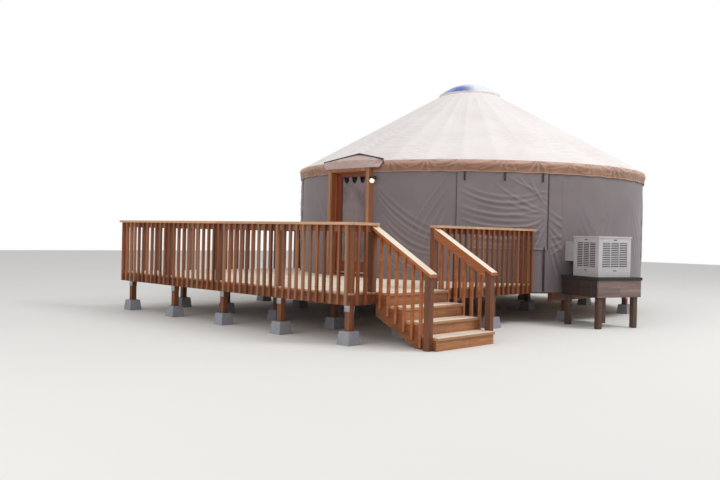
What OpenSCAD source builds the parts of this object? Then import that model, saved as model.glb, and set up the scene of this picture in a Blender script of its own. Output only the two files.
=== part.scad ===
// Round fabric yurt on a raised platform, with a timber deck, a stair and a wall cooler.
// Millimetres. Origin: on the ground under the middle of the round floor.
// +Z is up, the door faces -Y, and the stair goes down towards +X.

/* [Yurt] */
// Outside radius of the wall cover
yurt_r = 3658; // [3500:1:3800]
// Height of the floor and the deck above the ground
floor_z = 700; // [680:1:760]
// Thickness of the wall cover with its insulation
cover_t = 12; // [8:1:16]
// How far the wall cover hangs below the floor
cover_drop = 155; // [120:5:170]
// Height of the roof edge above the floor
eave_h = 2160; // [2120:10:2250]
// How far the roof edge stands out from the wall
eave_out = 36; // [34:1:45]
// Slope of the roof in degrees
roof_pitch = 29.4; // [26:0.1:32]
// Thickness of the roof cover with its insulation
roof_t = 12; // [8:1:16]
// Number of gores in the roof cover
roof_gores = 6; // [6]
// Height of the valance that hangs at the roof edge
valance_h = 215; // [200:5:230]
// Thickness of the valance
valance_t = 6; // [4:1:8]
// Space between the valance and the wall
valance_gap = 18; // [16:1:22]

/* [Frame inside] */
// Depth of the lattice, two laths thick
lattice_t = 38; // [30:1:44]
// Width of a lath
lath_w = 36; // [30:1:45]
// Number of lattice bays round the wall
lattice_bays = 14; // [12:1:16]
// Laths of each direction in a bay
laths_per_bay = 3; // [3:1:4]
// Slope of a lath in degrees
lath_slope = 52; // [48:1:56]
// Number of rafters
rafter_count = 36; // [30:2:40]
// Width of a rafter
rafter_w = 38; // [36:1:45]
// Depth of a rafter
rafter_d = 89; // [80:1:100]
// Outside radius of the centre ring
ring_r = 700; // [680:5:740]
// Width of the centre ring
ring_w = 90; // [80:5:110]
// Depth of the centre ring below the rafters' tops
ring_d = 200; // [180:5:220]

/* [Skylight] */
// Radius of the hole in the roof cover
skylight_r = 664; // [640:1:675]
// Rise of the skylight dome
dome_h = 255; // [220:5:290]
// Thickness of the dome
dome_t = 8; // [6:1:10]
// Height of the curb above the roof cover
curb_h = 35; // [25:1:50]

/* [Windows] */
// Angle of the front windows from the door
window_az = 46.7; // [45:0.1:47]
// Width of a window
window_w = 1400; // [1300:10:1450]
// Height of a window
window_h = 900; // [850:10:950]
// Height of a window's lower edge above the floor
window_sill = 850; // [840:10:900]
// Thickness of a window pane
pane_t = 4; // [3:1:6]
// How far a flap reaches past its window on each side
flap_over = 130; // [100:5:140]
// How far a flap reaches below its window
flap_below = 250; // [200:10:260]
// How far a flap reaches above its window, under the valance
flap_above = 250; // [240:5:255]
// Thickness of a flap
flap_t = 6; // [4:1:8]

/* [Door] */
// Clear width of the doorway
door_w = 900; // [860:5:940]
// Distance from the door frame's top up to the roof edge
door_below_eave = 100; // [90:5:150]
// Face width of the door frame
jamb_w = 95; // [85:1:105]
// Depth of the door frame
jamb_d = 180; // [165:5:200]
// How far the door frame stands out from the wall
jamb_out = 62; // [50:1:75]
// Height of the sill
sill_h = 25; // [20:1:30]
// Thickness of the door leaf
leaf_t = 44; // [40:1:48]
// Running gap round the door leaf
leaf_gap = 7; // [6:1:9]
// Width of the leaf's stiles
stile_w = 120; // [105:1:130]
// Height of the leaf's top rail
leaf_top_w = 65; // [60:1:85]
// Height of the leaf's bottom rail
kick_h = 230; // [200:5:260]
// Thickness of the door glass
glass_t = 8; // [6:1:10]
// Radius of a hinge knuckle
hinge_r = 9; // [8:0.5:10]
// Height of a hinge knuckle
knuckle_h = 45; // [40:1:50]
// Depth of the stop strips that the leaf closes against
stop_t = 14; // [10:1:18]
// Radius of the door knob
knob_r = 28; // [25:1:30]
// Height of the door knob above the floor
knob_z = 960; // [900:10:1000]
// Distance of the knob's middle from the leaf
knob_out = 48; // [45:1:52]
// Radius of the knob's neck
knob_neck_r = 11; // [9:0.5:13]
// Radius of the knob's rose
rose_r = 31; // [30:1:34]
// Thickness of the knob's rose
rose_t = 6; // [4:1:8]
// Gap between the curtain and what it hangs in
curtain_gap = 2; // [1.5:0.5:3]
// Height of the curtain's hem above the glass edge
curtain_lift = 8; // [5:1:20]
// Distance of the porch light's globe from the door frame's side
lamp_out = 55; // [50:1:65]
// Distance of the globe's middle below the frame's top
lamp_below = 340; // [320:5:360]
// Distance of the globe's middle in front of the frame's front
lamp_front = 45; // [35:1:50]
// Radius of the porch light's globe
globe_r = 42; // [40:1:45]
// Distance of the porch light's body from the door frame's side
lamp_body_out = 44; // [40:1:46]
// Width of the porch light's body
lamp_body_w = 100; // [95:1:110]
// Depth of the porch light's body
lamp_body_d = 90; // [85:1:100]
// Height of the porch light's body
lamp_body_h = 125; // [115:1:135]
// Height of the body's foot above the globe's middle
lamp_body_up = 20; // [15:1:25]
// Thickness of the arm that holds the porch light
lamp_arm_t = 30; // [24:1:34]

/* [Flap over the door] */
// Width of the flap where it leaves the roof edge
flap_roof_w = 1580; // [1540:10:1640]
// Width of the flap's front
flap_front_w = 1180; // [1160:10:1240]
// How far the flap's front stands out from the wall
flap_out = 92; // [85:1:110]
// Rise of the flap's top towards its ridge, in degrees
flap_pitch = 24.5; // [23:0.1:26]
// Side slope of the flap's top in degrees
flap_side_pitch = 4.9; // [4:0.1:6]
// How far the flap hangs below the door frame's top
flap_hem = 35; // [30:1:45]
// Height of the flap's fold above the roof edge's level
flap_lift = 5; // [3:1:8]
// Height of the rain strip above the roof
strip_h = 34; // [25:1:45]
// Thickness of the rain strip
strip_t = 14; // [10:1:18]
// Distance of the rain strip's peak from the roof edge
strip_peak = 262; // [250:1:275]

/* [Platform] */
// Thickness of the floor
floor_t = 38; // [34:1:42]
// Gap between the floor's edge and the wall cover
rim_gap = 0.5; // [0.3:0.1:1]
// Depth of the floor joists
joist_d = 140; // [130:1:150]
// Thickness of the joists
joist_t = 38; // [36:1:42]
// Number of bent boards in the platform's rim
rim_boards = 24; // [20:2:28]
// Distance between the platform joists
joist_pitch = 610; // [560:10:620]
// Depth of the beams under the joists
beam_d = 140; // [130:1:150]
// Thickness of the beams
beam_t = 89; // [80:1:95]
// Distance between the middle beam and the next one
beam_pitch = 1600; // [1550:10:1620]
// Distance of the outer beams from the floor's edge
beam_edge = 495; // [480:5:550]
// Distance between posts along a beam
pier_pitch = 2400; // [2200:10:2420]
// Width of a post
post_w = 89; // [85:1:95]
// Width of a pier block at its foot
block_w = 235; // [220:5:260]
// Width of a pier block at its top
block_top = 190; // [175:5:205]
// Height of a pier block
block_h = 185; // [170:5:195]

/* [Deck] */
// Width of the deck
deck_w = 6096; // [5900:1:6300]
// Distance from the yurt's middle to the front edge of the deck
deck_front = 6650; // [6500:10:6800]
// Thickness of the deck boards
board_t = 28; // [25:1:32]
// Gap between the deck and the wall cover
deck_gap = 14; // [10:1:20]
// How far the deck's sides stop short of the wall
deck_end = 140; // [120:5:160]
// Distance between the deck joists
deck_joist_pitch = 508; // [450:1:560]
// Distance of the middle row of posts from the front edge
mid_row = 1150; // [1050:10:1300]
// Distance between posts along the front
deck_post_pitch = 1430; // [1300:10:1450]
// Distance of the outer posts from the deck's edges
post_edge = 10; // [6:1:15]
// Distance of the side posts from the end of the side rims
side_post_in = 1090; // [1000:10:1150]

/* [Railing] */
// Height of the cap above the deck
rail_h = 958; // [920:1:1000]
// Thickness of the cap
cap_t = 38; // [35:1:42]
// Width of the cap
cap_w = 140; // [120:1:150]
// Height of the top rail under the cap
top_rail_h = 89; // [80:1:95]
// Thickness of the top rail
top_rail_t = 38; // [35:1:42]
// Width of a baluster
bal_w = 38; // [34:1:42]
// Distance between balusters
bal_pitch = 146; // [130:1:150]
// How far the balusters stop above the bottom of the rim
bal_lift = 6; // [2:1:15]
// How far the cap stands out past the balusters
cap_out = 10; // [5:1:20]
// Gap between the last posts and the deck's end
end_post_gap = 20; // [15:1:30]
// How far the cap runs past the deck's end
cap_end = 60; // [40:5:80]
// Gap between the cap and the deck's round edge, which keeps it off the window flaps
cap_clear = 4; // [2:1:8]

/* [Stair] */
// Number of steps, the top one level with the deck
steps = 4; // [4]
// Depth from one nosing to the next
going = 281; // [270:1:290]
// Thickness of a tread
tread_t = 38; // [35:1:42]
// How far a tread stands out past its riser
nosing = 25; // [20:1:30]
// Thickness of a riser board
riser_t = 19; // [16:1:22]
// Width of the stair
stair_w = 1265; // [1240:1:1290]
// Distance from the deck's corner to the stair
stair_from = 515; // [500:1:530]
// Thickness of a stringer
stringer_t = 38; // [35:1:42]
// Depth of a stringer below the treads at the top
stringer_d = 290; // [270:5:300]
// How far a stringer's foot reaches back
stringer_toe = 60; // [50:5:80]
// Distance of the newel's middle from the deck's edge
newel_x = 985; // [970:1:1000]
// Slope of the stair's rails in degrees
stair_rail_pitch = 30; // [29:0.5:31]
// How far the sloped rails start below the deck's cap
stair_rail_drop = 8; // [5:1:20]
// How far the stair's balusters reach below the line of the nosings
stair_bal_reach = 330; // [300:5:350]
// How far the sloped caps run past the newels
stair_cap_over = 30; // [10:5:40]
// Step from the cap's inner edge back to the board under it
rail_lip = 5; // [2:1:10]

/* [Cooler] */
// Angle of the cooler from the door
cooler_az = 70.5; // [69:0.5:72]
// Width of the cooler along the wall
cooler_w = 720; // [690:5:750]
// Depth of the cooler away from the wall
cooler_d = 615; // [590:5:640]
// Height of the cooler
cooler_h = 690; // [660:5:720]
// Distance between the wall and the cooler
cooler_off = 245; // [230:5:260]
// Thickness of the louvred panels
louvre_t = 14; // [10:1:18]
// Border of the cabinet round each louvred panel
cooler_border = 68; // [60:1:75]
// Height of the cabinet's foot below each louvred panel
cooler_foot = 140; // [120:5:160]
// Thickness of the cooler's lid
lid_t = 25; // [22:1:35]
// How far the lid stands out past the cabinet
lid_over = 12; // [8:1:16]
// Width of the duct into the wall
duct_w = 660; // [620:5:680]
// Length of the duct past the wall's nearest point
duct_in = 80; // [70:5:100]
// Height of the duct
duct_h = 350; // [320:5:380]
// Distance of the duct below the cabinet's top
duct_below = 95; // [80:5:110]
// Width of the stand
stand_w = 980; // [950:5:1010]
// Depth of the stand
stand_d = 940; // [910:5:960]
// Height of the stand
stand_h = 865; // [840:5:890]
// Distance between the wall and the stand
stand_off = 75; // [60:5:90]
// Thickness of the stand's top
stand_top_t = 50; // [45:1:60]
// How far the stand's top stands out past its boards
stand_over = 15; // [10:1:20]
// Height of the boards under the stand's top
apron_h = 286; // [270:1:300]

/* [Hidden] */
$fn = 256;
far = 20000;
eps = 0.01;
// Reach of a cutting block past what it cuts
past = 400;
// Gap at a seat between two pieces that lie on each other
seat_gap = 0.3;

// Roof lines: the roof's top and under side as heights over a radius
eave_r = yurt_r + eave_out;
eave_z = floor_z + eave_h;
function roof_top(r) = eave_z + (eave_r - r) * tan(roof_pitch);
function roof_under(r) = roof_top(r) - roof_t / cos(roof_pitch);
wall_in = yurt_r - cover_t;
lattice_in = wall_in - lattice_t - 2 * seat_gap;
rafter_gap = 0.5;
function rafter_top(r) = roof_under(r) - rafter_gap;
function rafter_under(r) = rafter_top(r) - rafter_d / cos(roof_pitch);
rafter_seat = 6;
rafter_end = wall_in - rafter_seat;
lattice_top = rafter_under(wall_in) - 2 * seat_gap;
valance_in = yurt_r + valance_gap;

// Doorway
frame_half = door_w / 2 + jamb_w;
door_h = eave_h - door_below_eave - jamb_w;
frame_top = floor_z + door_h + jamb_w;
frame_y = -yurt_r - jamb_out;
frame_in_y = frame_y + jamb_d;
leaf_w = door_w - 2 * leaf_gap;
leaf_z = floor_z + sill_h + leaf_gap;
leaf_h = floor_z + door_h - leaf_gap - leaf_z;
hinge_x = -door_w / 2 + leaf_gap / 2;
hinge_off = 1;
hinge_y = frame_in_y + hinge_r + hinge_off;
hinge_gap = 0.3;
hinge_leaf_w = 30;
hinge_heights = [0.12, 0.5, 0.86];
stop_w = 16;

// Platform and deck levels
floor_r = wall_in - rim_gap;
beam_outer = floor_r - beam_edge;
joist_z = floor_z - floor_t - joist_d;
beam_z = joist_z - beam_d;
deck_half = deck_w / 2;
deck_y = -deck_front;
deck_r = yurt_r + deck_gap;
frame_z = floor_z - board_t - joist_d;
near_row_y = -deck_r - beam_t;
mid_row_y = deck_y + mid_row;
wall_y = -sqrt(pow(deck_r, 2) - pow(deck_half, 2));
deck_back_y = wall_y - deck_end;
side_post_y = deck_back_y - side_post_in;
post_inset = post_w / 2 + post_edge;
deck_post_n = floor((deck_w - post_w) / deck_post_pitch) + 1;
deck_post_x = [for (i = [0:deck_post_n - 1]) deck_half - post_inset - i * deck_post_pitch];
deck_post_y = [deck_y + post_inset, mid_row_y];
deck_posts = [for (x = deck_post_x, y = deck_post_y) [x, y],
              for (i = [1:deck_post_n - 2]) [deck_post_x[i], near_row_y + beam_t / 2],
              for (s = [-1, 1]) [s * (deck_half - post_inset), side_post_y]];
pier_posts = [[0, 0], for (s = [-1, 1]) [0, s * pier_pitch],
              for (s = [-1, 1], y = [-pier_pitch, 0, pier_pitch]) [s * beam_pitch, y],
              for (s = [-1, 1], y = [-0.5, 0.5]) [s * beam_outer, y * pier_pitch]];

// Railing and stair
cap_z = floor_z + rail_h - cap_t;
stair_y0 = deck_y + stair_from;
stair_y1 = stair_y0 + stair_w;
rise = floor_z / steps;
function nose_x(k) = deck_half + (steps + 1 - k) * going;
stair_pitch = atan(rise / going);
newel_pos = deck_half + newel_x;
newel_ys = [stair_y0 - post_w / 2, stair_y1 + post_w / 2];
rail_post_x = [deck_half - post_w / 2, -deck_half + post_w / 2];
function nose_line(x) = rise + (nose_x(1) - x) * tan(stair_pitch);
function stair_rail_z(x) = cap_z - stair_rail_drop - (x - deck_half) * tan(stair_rail_pitch);

// Cooler
stand_y = -yurt_r - stand_off;
cooler_y = -yurt_r - cooler_off;

fabric_wall = [0.47, 0.44, 0.42];
fabric_roof = [0.88, 0.83, 0.79];
fabric_tan = [0.64, 0.51, 0.43];
cedar = [0.62, 0.36, 0.20];
cedar_light = [0.72, 0.50, 0.32];
pine = [0.80, 0.66, 0.46];
dark_wood = [0.34, 0.24, 0.19];
concrete = [0.60, 0.60, 0.61];
beige = [0.78, 0.75, 0.70];
clear_blue = [0.62, 0.72, 0.90, 0.6];
dark = [0.12, 0.11, 0.11];

// Turns a piece that is drawn at the door to an angle round the yurt
module at_az(a) { rotate([0, 0, a]) children(); }

// A ring from angle a0 to a1, whose cross-section is the child drawn as radius and height
module sector(a0, a1) { rotate([0, 0, a0 - 90]) rotate_extrude(angle = a1 - a0) children(); }

// A box given by its low and high corners
module block(lo, hi) { translate(lo) cube(hi - lo); }

// The whole yurt wall is cut clear of the door frame
module doorway_space() {
    block([-frame_half, -yurt_r - past, floor_z - cover_drop - past],
          [frame_half, -yurt_r + past, eave_z + past]);
}

// Edges of the wall's panels, as angles from the door
wall_edges = [4, 64, 110, 155, 205, 250, 296, 356];
window_azs = [window_az, 180, 360 - window_az];
window_turn = asin(window_w / 2 / yurt_r) + 1;
panel_clear = 0.005;

module window_space() {
    z0 = floor_z + window_sill;
    for (a = window_azs) at_az(a)
        block([-window_w / 2, -yurt_r - past, z0], [window_w / 2, -yurt_r + past, z0 + window_h]);
}

// Wall cover: one panel, with its top cut to the slope of the roof
module wall_panel(i) {
    z0 = floor_z - cover_drop;
    color(fabric_wall) difference() {
        sector(wall_edges[i] + panel_clear, wall_edges[i + 1] - panel_clear)
            polygon([[wall_in, z0], [yurt_r, z0], [yurt_r, roof_under(yurt_r)],
                     [wall_in, roof_under(wall_in)]]);
        if (i == 0 || i == 6) doorway_space();
        if (i == 0 || i == 3 || i == 6) window_space();
    }
}

door_turn = asin(frame_half / wall_in) + 1;
module wall_over_door() {
    color(fabric_wall) intersection() {
        sector(-door_turn, door_turn)
            polygon([[wall_in, frame_top], [yurt_r, frame_top], [yurt_r, roof_under(yurt_r)],
                     [wall_in, roof_under(wall_in)]]);
        doorway_space();
    }
}

module window_panes() {
    r0 = (wall_in + yurt_r - pane_t) / 2;
    z0 = floor_z + window_sill;
    color(clear_blue) for (a = window_azs) intersection() {
        sector(a - window_turn, a + window_turn) translate([r0, z0]) square([pane_t, window_h]);
        at_az(a) block([-window_w / 2, -yurt_r - past, z0],
                       [window_w / 2, -yurt_r + past, z0 + window_h]);
    }
}

module window_flaps() {
    half = (window_w / 2 + flap_over) / yurt_r * 180 / PI;
    z0 = floor_z + window_sill - flap_below;
    z1 = floor_z + window_sill + window_h + flap_above;
    color(fabric_wall) for (a = window_azs)
        sector(a - half, a + half) translate([yurt_r + seat_gap, z0]) square([flap_t, z1 - z0]);
}

// Valance: hangs from the roof's under side, and from the flap at both sides of the door frame
module valance() {
    stop_az = asin((frame_half + valance_gap) / valance_in);
    r1 = valance_in + valance_t;
    z0 = eave_z - valance_h;
    over = flap_roof_w / 2 + seat_gap;
    color(fabric_tan) difference() {
        sector(stop_az, 360 - stop_az)
            polygon([[valance_in, z0], [r1, z0], [r1, roof_under(r1) - seat_gap],
                     [valance_in, roof_under(valance_in) - seat_gap]]);
        block([-over, -yurt_r - past, frame_top - flap_hem - seat_gap], [over, 0, eave_z + past]);
    }
}

module roof_gore(i) {
    span = 360 / roof_gores;
    color(fabric_roof) sector((i - 0.5) * span, (i + 0.5) * span)
        polygon([[skylight_r, roof_under(skylight_r)], [eave_r, roof_under(eave_r)],
                 [eave_r, roof_top(eave_r)], [skylight_r, roof_top(skylight_r)]]);
}

// Centre ring: carries the rafters' upper ends and the skylight
module centre_ring() {
    z1 = roof_under(skylight_r) - seat_gap;
    z0 = rafter_top(ring_r) - ring_d;
    color(pine) sector(0, 360)
        polygon([[ring_r - ring_w, z0], [ring_r, z0], [ring_r, roof_under(ring_r) - seat_gap],
                 [skylight_r, z1], [ring_r - ring_w, z1]]);
}

module skylight_curb() {
    z0 = roof_under(skylight_r) - seat_gap;
    z1 = roof_top(skylight_r) + curb_h;
    color(beige) translate([0, 0, z0]) difference() {
        cylinder(r = skylight_r, h = z1 - z0);
        translate([0, 0, -1]) cylinder(r = ring_r - ring_w, h = z1 - z0 + 2);
    }
}

module skylight_dome() {
    z0 = roof_top(skylight_r) + curb_h;
    ball_r = (pow(skylight_r, 2) + pow(dome_h, 2)) / (2 * dome_h);
    color(clear_blue) translate([0, 0, z0]) difference() {
        translate([0, 0, dome_h - ball_r]) sphere(r = ball_r);
        translate([0, 0, dome_h - ball_r]) sphere(r = ball_r - dome_t);
        translate([-far / 2, -far / 2, -far]) cube(far);
    }
}

// Rafter: a straight beam cut upright at both ends
module rafters() {
    color(pine) for (i = [0:rafter_count - 1]) at_az((i + 0.5) * 360 / rafter_count)
        rotate([90, 0, -90]) translate([0, 0, -rafter_w / 2]) linear_extrude(rafter_w)
            polygon([[ring_r, rafter_under(ring_r)], [rafter_end, rafter_under(rafter_end)],
                     [rafter_end, rafter_top(rafter_end)], [ring_r, rafter_top(ring_r)]]);
}

// Lattice: the laths of a bay are cut from a thin round shell, a hair clear of the next bay
bay_clear = 0.005;
// Feet of the two directions as shares of a step, and how far below the floor they would meet
foot_shift = [0.25, 0.75];
foot_drop = 8;
lattice_door_turn = 0.15;
door_az = asin(frame_half / lattice_in) + lattice_door_turn;
bay_span = (360 - 2 * door_az) / lattice_bays;
module lattice_bay(i) {
    a = door_az + (i + 0.5) * bay_span;
    half = bay_span / 2 - bay_clear;
    bay_w = 2 * lattice_in * sin(bay_span / 2);
    h = lattice_top - floor_z;
    step = bay_w / laths_per_bay;
    run = h / tan(lath_slope);
    n = ceil(run / step) + 1;
    intersection() {
        sector(a - half, a + half)
            translate([lattice_in, floor_z]) square([lattice_t, h]);
        at_az(a) translate([0, -lattice_in + past / 2, floor_z]) rotate([90, 0, 0])
            linear_extrude(past) for (s = [0, 1], k = [-n:laths_per_bay])
                mirror([s, 0])
                    translate([-bay_w / 2 + (k + foot_shift[s]) * step, -foot_drop]) rotate(lath_slope)
                    translate([-lath_w, -lath_w / 2])
                        square([h / sin(lath_slope) + 2 * lath_w, lath_w]);
    }
}

module lattice_right() {
    color(pine) union() { for (i = [0:floor(lattice_bays / 2) - 1]) lattice_bay(i); }
}
module lattice_left() {
    color(pine) union() { for (i = [floor(lattice_bays / 2):lattice_bays - 1]) lattice_bay(i); }
}

module platform_floor() {
    color(pine) translate([0, 0, floor_z - floor_t]) cylinder(r = floor_r, h = floor_t);
}

// Rim, joists and beams of the round platform, each board a hair clear of the next
module platform_frame() {
    n = floor((floor_r - joist_t) / joist_pitch);
    rim_in = floor_r - joist_t;
    color(cedar) {
        for (i = [0:rim_boards - 1])
            sector(i * 360 / rim_boards + panel_clear, (i + 1) * 360 / rim_boards - panel_clear)
                translate([rim_in, joist_z]) square([joist_t, joist_d]);
        for (i = [-n:n]) {
            y = i * joist_pitch;
            half = sqrt(pow(rim_in, 2) - pow(abs(y) + joist_t / 2, 2)) - seat_gap;
            block([-half, y - joist_t / 2, joist_z], [half, y + joist_t / 2, joist_z + joist_d]);
        }
        for (x = [-beam_outer, -beam_pitch, 0, beam_pitch, beam_outer]) {
            half = sqrt(pow(floor_r - joist_t / 2, 2) - pow(abs(x) + beam_t / 2, 2));
            block([x - beam_t / 2, -half, beam_z], [x + beam_t / 2, half, joist_z - seat_gap]);
        }
    }
}

module support_posts() {
    color(cedar) {
        for (p = pier_posts)
            block([p[0] - post_w / 2, p[1] - post_w / 2, block_h],
                  [p[0] + post_w / 2, p[1] + post_w / 2, beam_z]);
        for (p = deck_posts)
            block([p[0] - post_w / 2, p[1] - post_w / 2, block_h],
                  [p[0] + post_w / 2, p[1] + post_w / 2, frame_z]);
    }
}

// Pier block: a square block that narrows towards its top
module pier_block() {
    side = [[-block_w / 2, 0], [block_w / 2, 0], [block_top / 2, block_h],
            [-block_top / 2, block_h]];
    intersection() {
        translate([0, block_w / 2, 0]) rotate([90, 0, 0]) linear_extrude(block_w) polygon(side);
        translate([-block_w / 2, 0, 0]) rotate([90, 0, 90]) linear_extrude(block_w) polygon(side);
    }
}

module pier_blocks() {
    color(concrete) {
        for (p = pier_posts) translate([p[0], p[1], 0]) pier_block();
        for (p = deck_posts) translate([p[0], p[1], 0]) pier_block();
    }
}

// Door frame: a deep timber box with stops, a sill and the fixed hinge knuckles
module hinge_knuckle(z, side) {
    translate([hinge_x, hinge_y, z]) cylinder(r = hinge_r, h = knuckle_h);
    x0 = side < 0 ? hinge_x - hinge_leaf_w : hinge_x;
    block([x0, frame_in_y, z], [x0 + hinge_leaf_w, hinge_y, z + knuckle_h]);
}

module door_frame() {
    stop_y = frame_in_y - leaf_t - leaf_gap - stop_t;
    color(cedar) union() {
        difference() {
            block([-frame_half, frame_y, floor_z], [frame_half, frame_in_y, frame_top]);
            block([-door_w / 2, frame_y - 1, floor_z + sill_h],
                  [door_w / 2, frame_in_y + 1, floor_z + door_h]);
        }
        for (s = [-1, 1]) {
            x0 = s < 0 ? -door_w / 2 : door_w / 2 - stop_w;
            block([x0, stop_y, floor_z], [x0 + stop_w, stop_y + stop_t, floor_z + door_h]);
        }
        block([-door_w / 2, stop_y, floor_z + door_h - stop_w],
              [door_w / 2, stop_y + stop_t, floor_z + door_h]);
        for (t = hinge_heights) hinge_knuckle(leaf_z + t * leaf_h, -1);
    }
}

leaf_x0 = -door_w / 2 + leaf_gap;
leaf_y0 = frame_in_y - leaf_t;
glass_lo = [leaf_x0 + stile_w, leaf_z + kick_h];
glass_hi = [leaf_x0 + leaf_w - stile_w, leaf_z + leaf_h - leaf_top_w];

module door_leaf() {
    color(cedar_light) union() {
        difference() {
            block([leaf_x0, leaf_y0, leaf_z], [leaf_x0 + leaf_w, frame_in_y, leaf_z + leaf_h]);
            block([glass_lo[0], leaf_y0 - 1, glass_lo[1]], [glass_hi[0], frame_in_y + 1, glass_hi[1]]);
        }
        for (t = hinge_heights)
            hinge_knuckle(leaf_z + t * leaf_h + knuckle_h + hinge_gap, 1);
    }
}

module door_glass() {
    y0 = leaf_y0 + (leaf_t - glass_t) / 2;
    color(clear_blue)
        block([glass_lo[0], y0, glass_lo[1]], [glass_hi[0], y0 + glass_t, glass_hi[1]]);
}

// Curtain: hangs inside the leaf's opening, behind the glass
module door_curtain() {
    y0 = leaf_y0 + (leaf_t + glass_t) / 2 + curtain_gap;
    color([0.66, 0.64, 0.62])
        block([glass_lo[0] + curtain_gap, y0, glass_lo[1] + curtain_lift],
              [glass_hi[0] - curtain_gap, frame_in_y - curtain_gap, glass_hi[1]]);
}

module door_knob() {
    x = leaf_x0 + leaf_w - stile_w / 2;
    color([0.75, 0.65, 0.4]) for (s = [-1, 1]) {
        y = s < 0 ? leaf_y0 : frame_in_y;
        translate([x, y, floor_z + knob_z]) rotate([s > 0 ? -90 : 90, 0, 0]) union() {
            cylinder(r = rose_r, h = rose_t);
            cylinder(r = knob_neck_r, h = knob_out);
            translate([0, 0, knob_out]) sphere(r = knob_r, $fn = 48);
        }
    }
}

// The volume under the roof's top, with room for the cover to lie on
module roof_volume(clear) {
    rotate_extrude() polygon([[0, 0], [eave_r + clear, 0], [eave_r + clear, eave_z + clear],
                              [0, roof_top(0) + clear]]);
}

// Everything under one side of the flap's top: a plane that rises to the ridge
module under_flap_top(side) {
    translate([0, -yurt_r - flap_out, eave_z + flap_lift]) rotate([flap_pitch, side * flap_side_pitch, 0])
        translate([-eave_r, -eave_r, -far]) cube([2 * eave_r, 2 * eave_r, far]);
}

// Flap: fabric that runs from the roof out over the top of the door frame
module flap_shape() {
    front = -yurt_r - flap_out;
    side = -sqrt(pow(eave_r, 2) - pow(flap_roof_w / 2, 2));
    intersection() {
        translate([0, 0, frame_top - flap_hem]) linear_extrude(past)
            polygon([[-flap_roof_w / 2, side], [-flap_front_w / 2, front],
                     [flap_front_w / 2, front], [flap_roof_w / 2, side],
                     [flap_roof_w / 2, side + past], [-flap_roof_w / 2, side + past]]);
        under_flap_top(-1);
        under_flap_top(1);
    }
}
module door_flap() {
    color(fabric_tan) difference() {
        flap_shape();
        roof_volume(seat_gap);
        block([-frame_half - seat_gap, frame_y - seat_gap, 0],
              [frame_half + seat_gap, 0, frame_top + seat_gap]);
    }
}

// Rain strip: stands on the roof over the door as a wide V upside down
module rain_strip() {
    peak_y = -eave_r + strip_peak;
    foot = 2 * strip_h;
    run = flap_roof_w / 2;
    end_y = -sqrt(pow(eave_r, 2) - pow(run, 2));
    turn = atan((peak_y - end_y) / run);
    drop = atan((roof_top(-peak_y) - eave_z) / run);
    color(dark) difference() {
        union() {
            for (s = [0, 1]) mirror([s, 0, 0]) intersection() {
                translate([0, peak_y, roof_top(-peak_y)]) rotate([0, 0, -turn]) rotate([0, drop, 0])
                    translate([-foot, -strip_t, -foot]) cube([run + 3 * foot, strip_t, foot + strip_h]);
                block([0, -eave_r, 0], [run, 0, far]);
            }
        }
        roof_volume(seat_gap);
        flap_shape();
    }
}

// Porch light: a body on an arm from the door frame's right side, with a globe under its front
module porch_light() {
    x = frame_half + lamp_out;
    y = frame_y - lamp_front;
    z = frame_top - lamp_below;
    body_x = frame_half + lamp_body_out;
    body_z = z + lamp_body_up;
    arm_y = y + lamp_body_d - lamp_arm_t;
    arm_z = body_z + (lamp_body_h - lamp_arm_t) / 2;
    color(dark) union() {
        block([body_x, y, body_z], [body_x + lamp_body_w, y + lamp_body_d, body_z + lamp_body_h]);
        block([frame_half, arm_y, arm_z], [body_x + 1, arm_y + lamp_arm_t, arm_z + lamp_arm_t]);
        translate([x, y, z]) sphere(r = globe_r, $fn = 48);
    }
}

// Deck boards as one slab that is cut round the yurt
module deck_boards() {
    color(cedar_light) difference() {
        block([-deck_half, deck_y, floor_z - board_t], [deck_half, 0, floor_z]);
        translate([0, 0, floor_z - board_t - 1]) cylinder(r = deck_r, h = board_t + 2);
        back_cut(floor_z - board_t - 1, board_t + 2);
    }
}

// The deck ends a little before its sides would meet the round wall
module back_cut(z, h) {
    translate([-far / 2, deck_back_y, z]) cube([far, far, h]);
}

// Rim, flush beams and joists of the deck, each board a hair clear of the next
module deck_frame() {
    n = floor((deck_half - joist_t) / deck_joist_pitch);
    z1 = floor_z - board_t;
    rim_y = deck_y + joist_t;
    mid_y = mid_row_y - beam_t / 2;
    rows = [[rim_y, mid_y], [mid_y + beam_t, near_row_y], [near_row_y + beam_t, 0]];
    side = deck_half - joist_t;
    color(cedar) difference() {
        union() {
            block([-deck_half, deck_y, frame_z], [deck_half, rim_y, z1]);
            for (s = [0, 1]) mirror([s, 0, 0])
                block([side, rim_y + seat_gap, frame_z], [deck_half, 0, z1]);
            for (y = [mid_y, near_row_y])
                block([seat_gap - side, y, frame_z], [side - seat_gap, y + beam_t, z1]);
            for (i = [-n:n], row = rows)
                block([i * deck_joist_pitch - joist_t / 2, row[0] + seat_gap, frame_z],
                      [i * deck_joist_pitch + joist_t / 2, row[1] - seat_gap, z1]);
        }
        translate([0, 0, frame_z - 1]) cylinder(r = deck_r, h = joist_d + 2);
        back_cut(frame_z - 1, joist_d + 2);
    }
}

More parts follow.
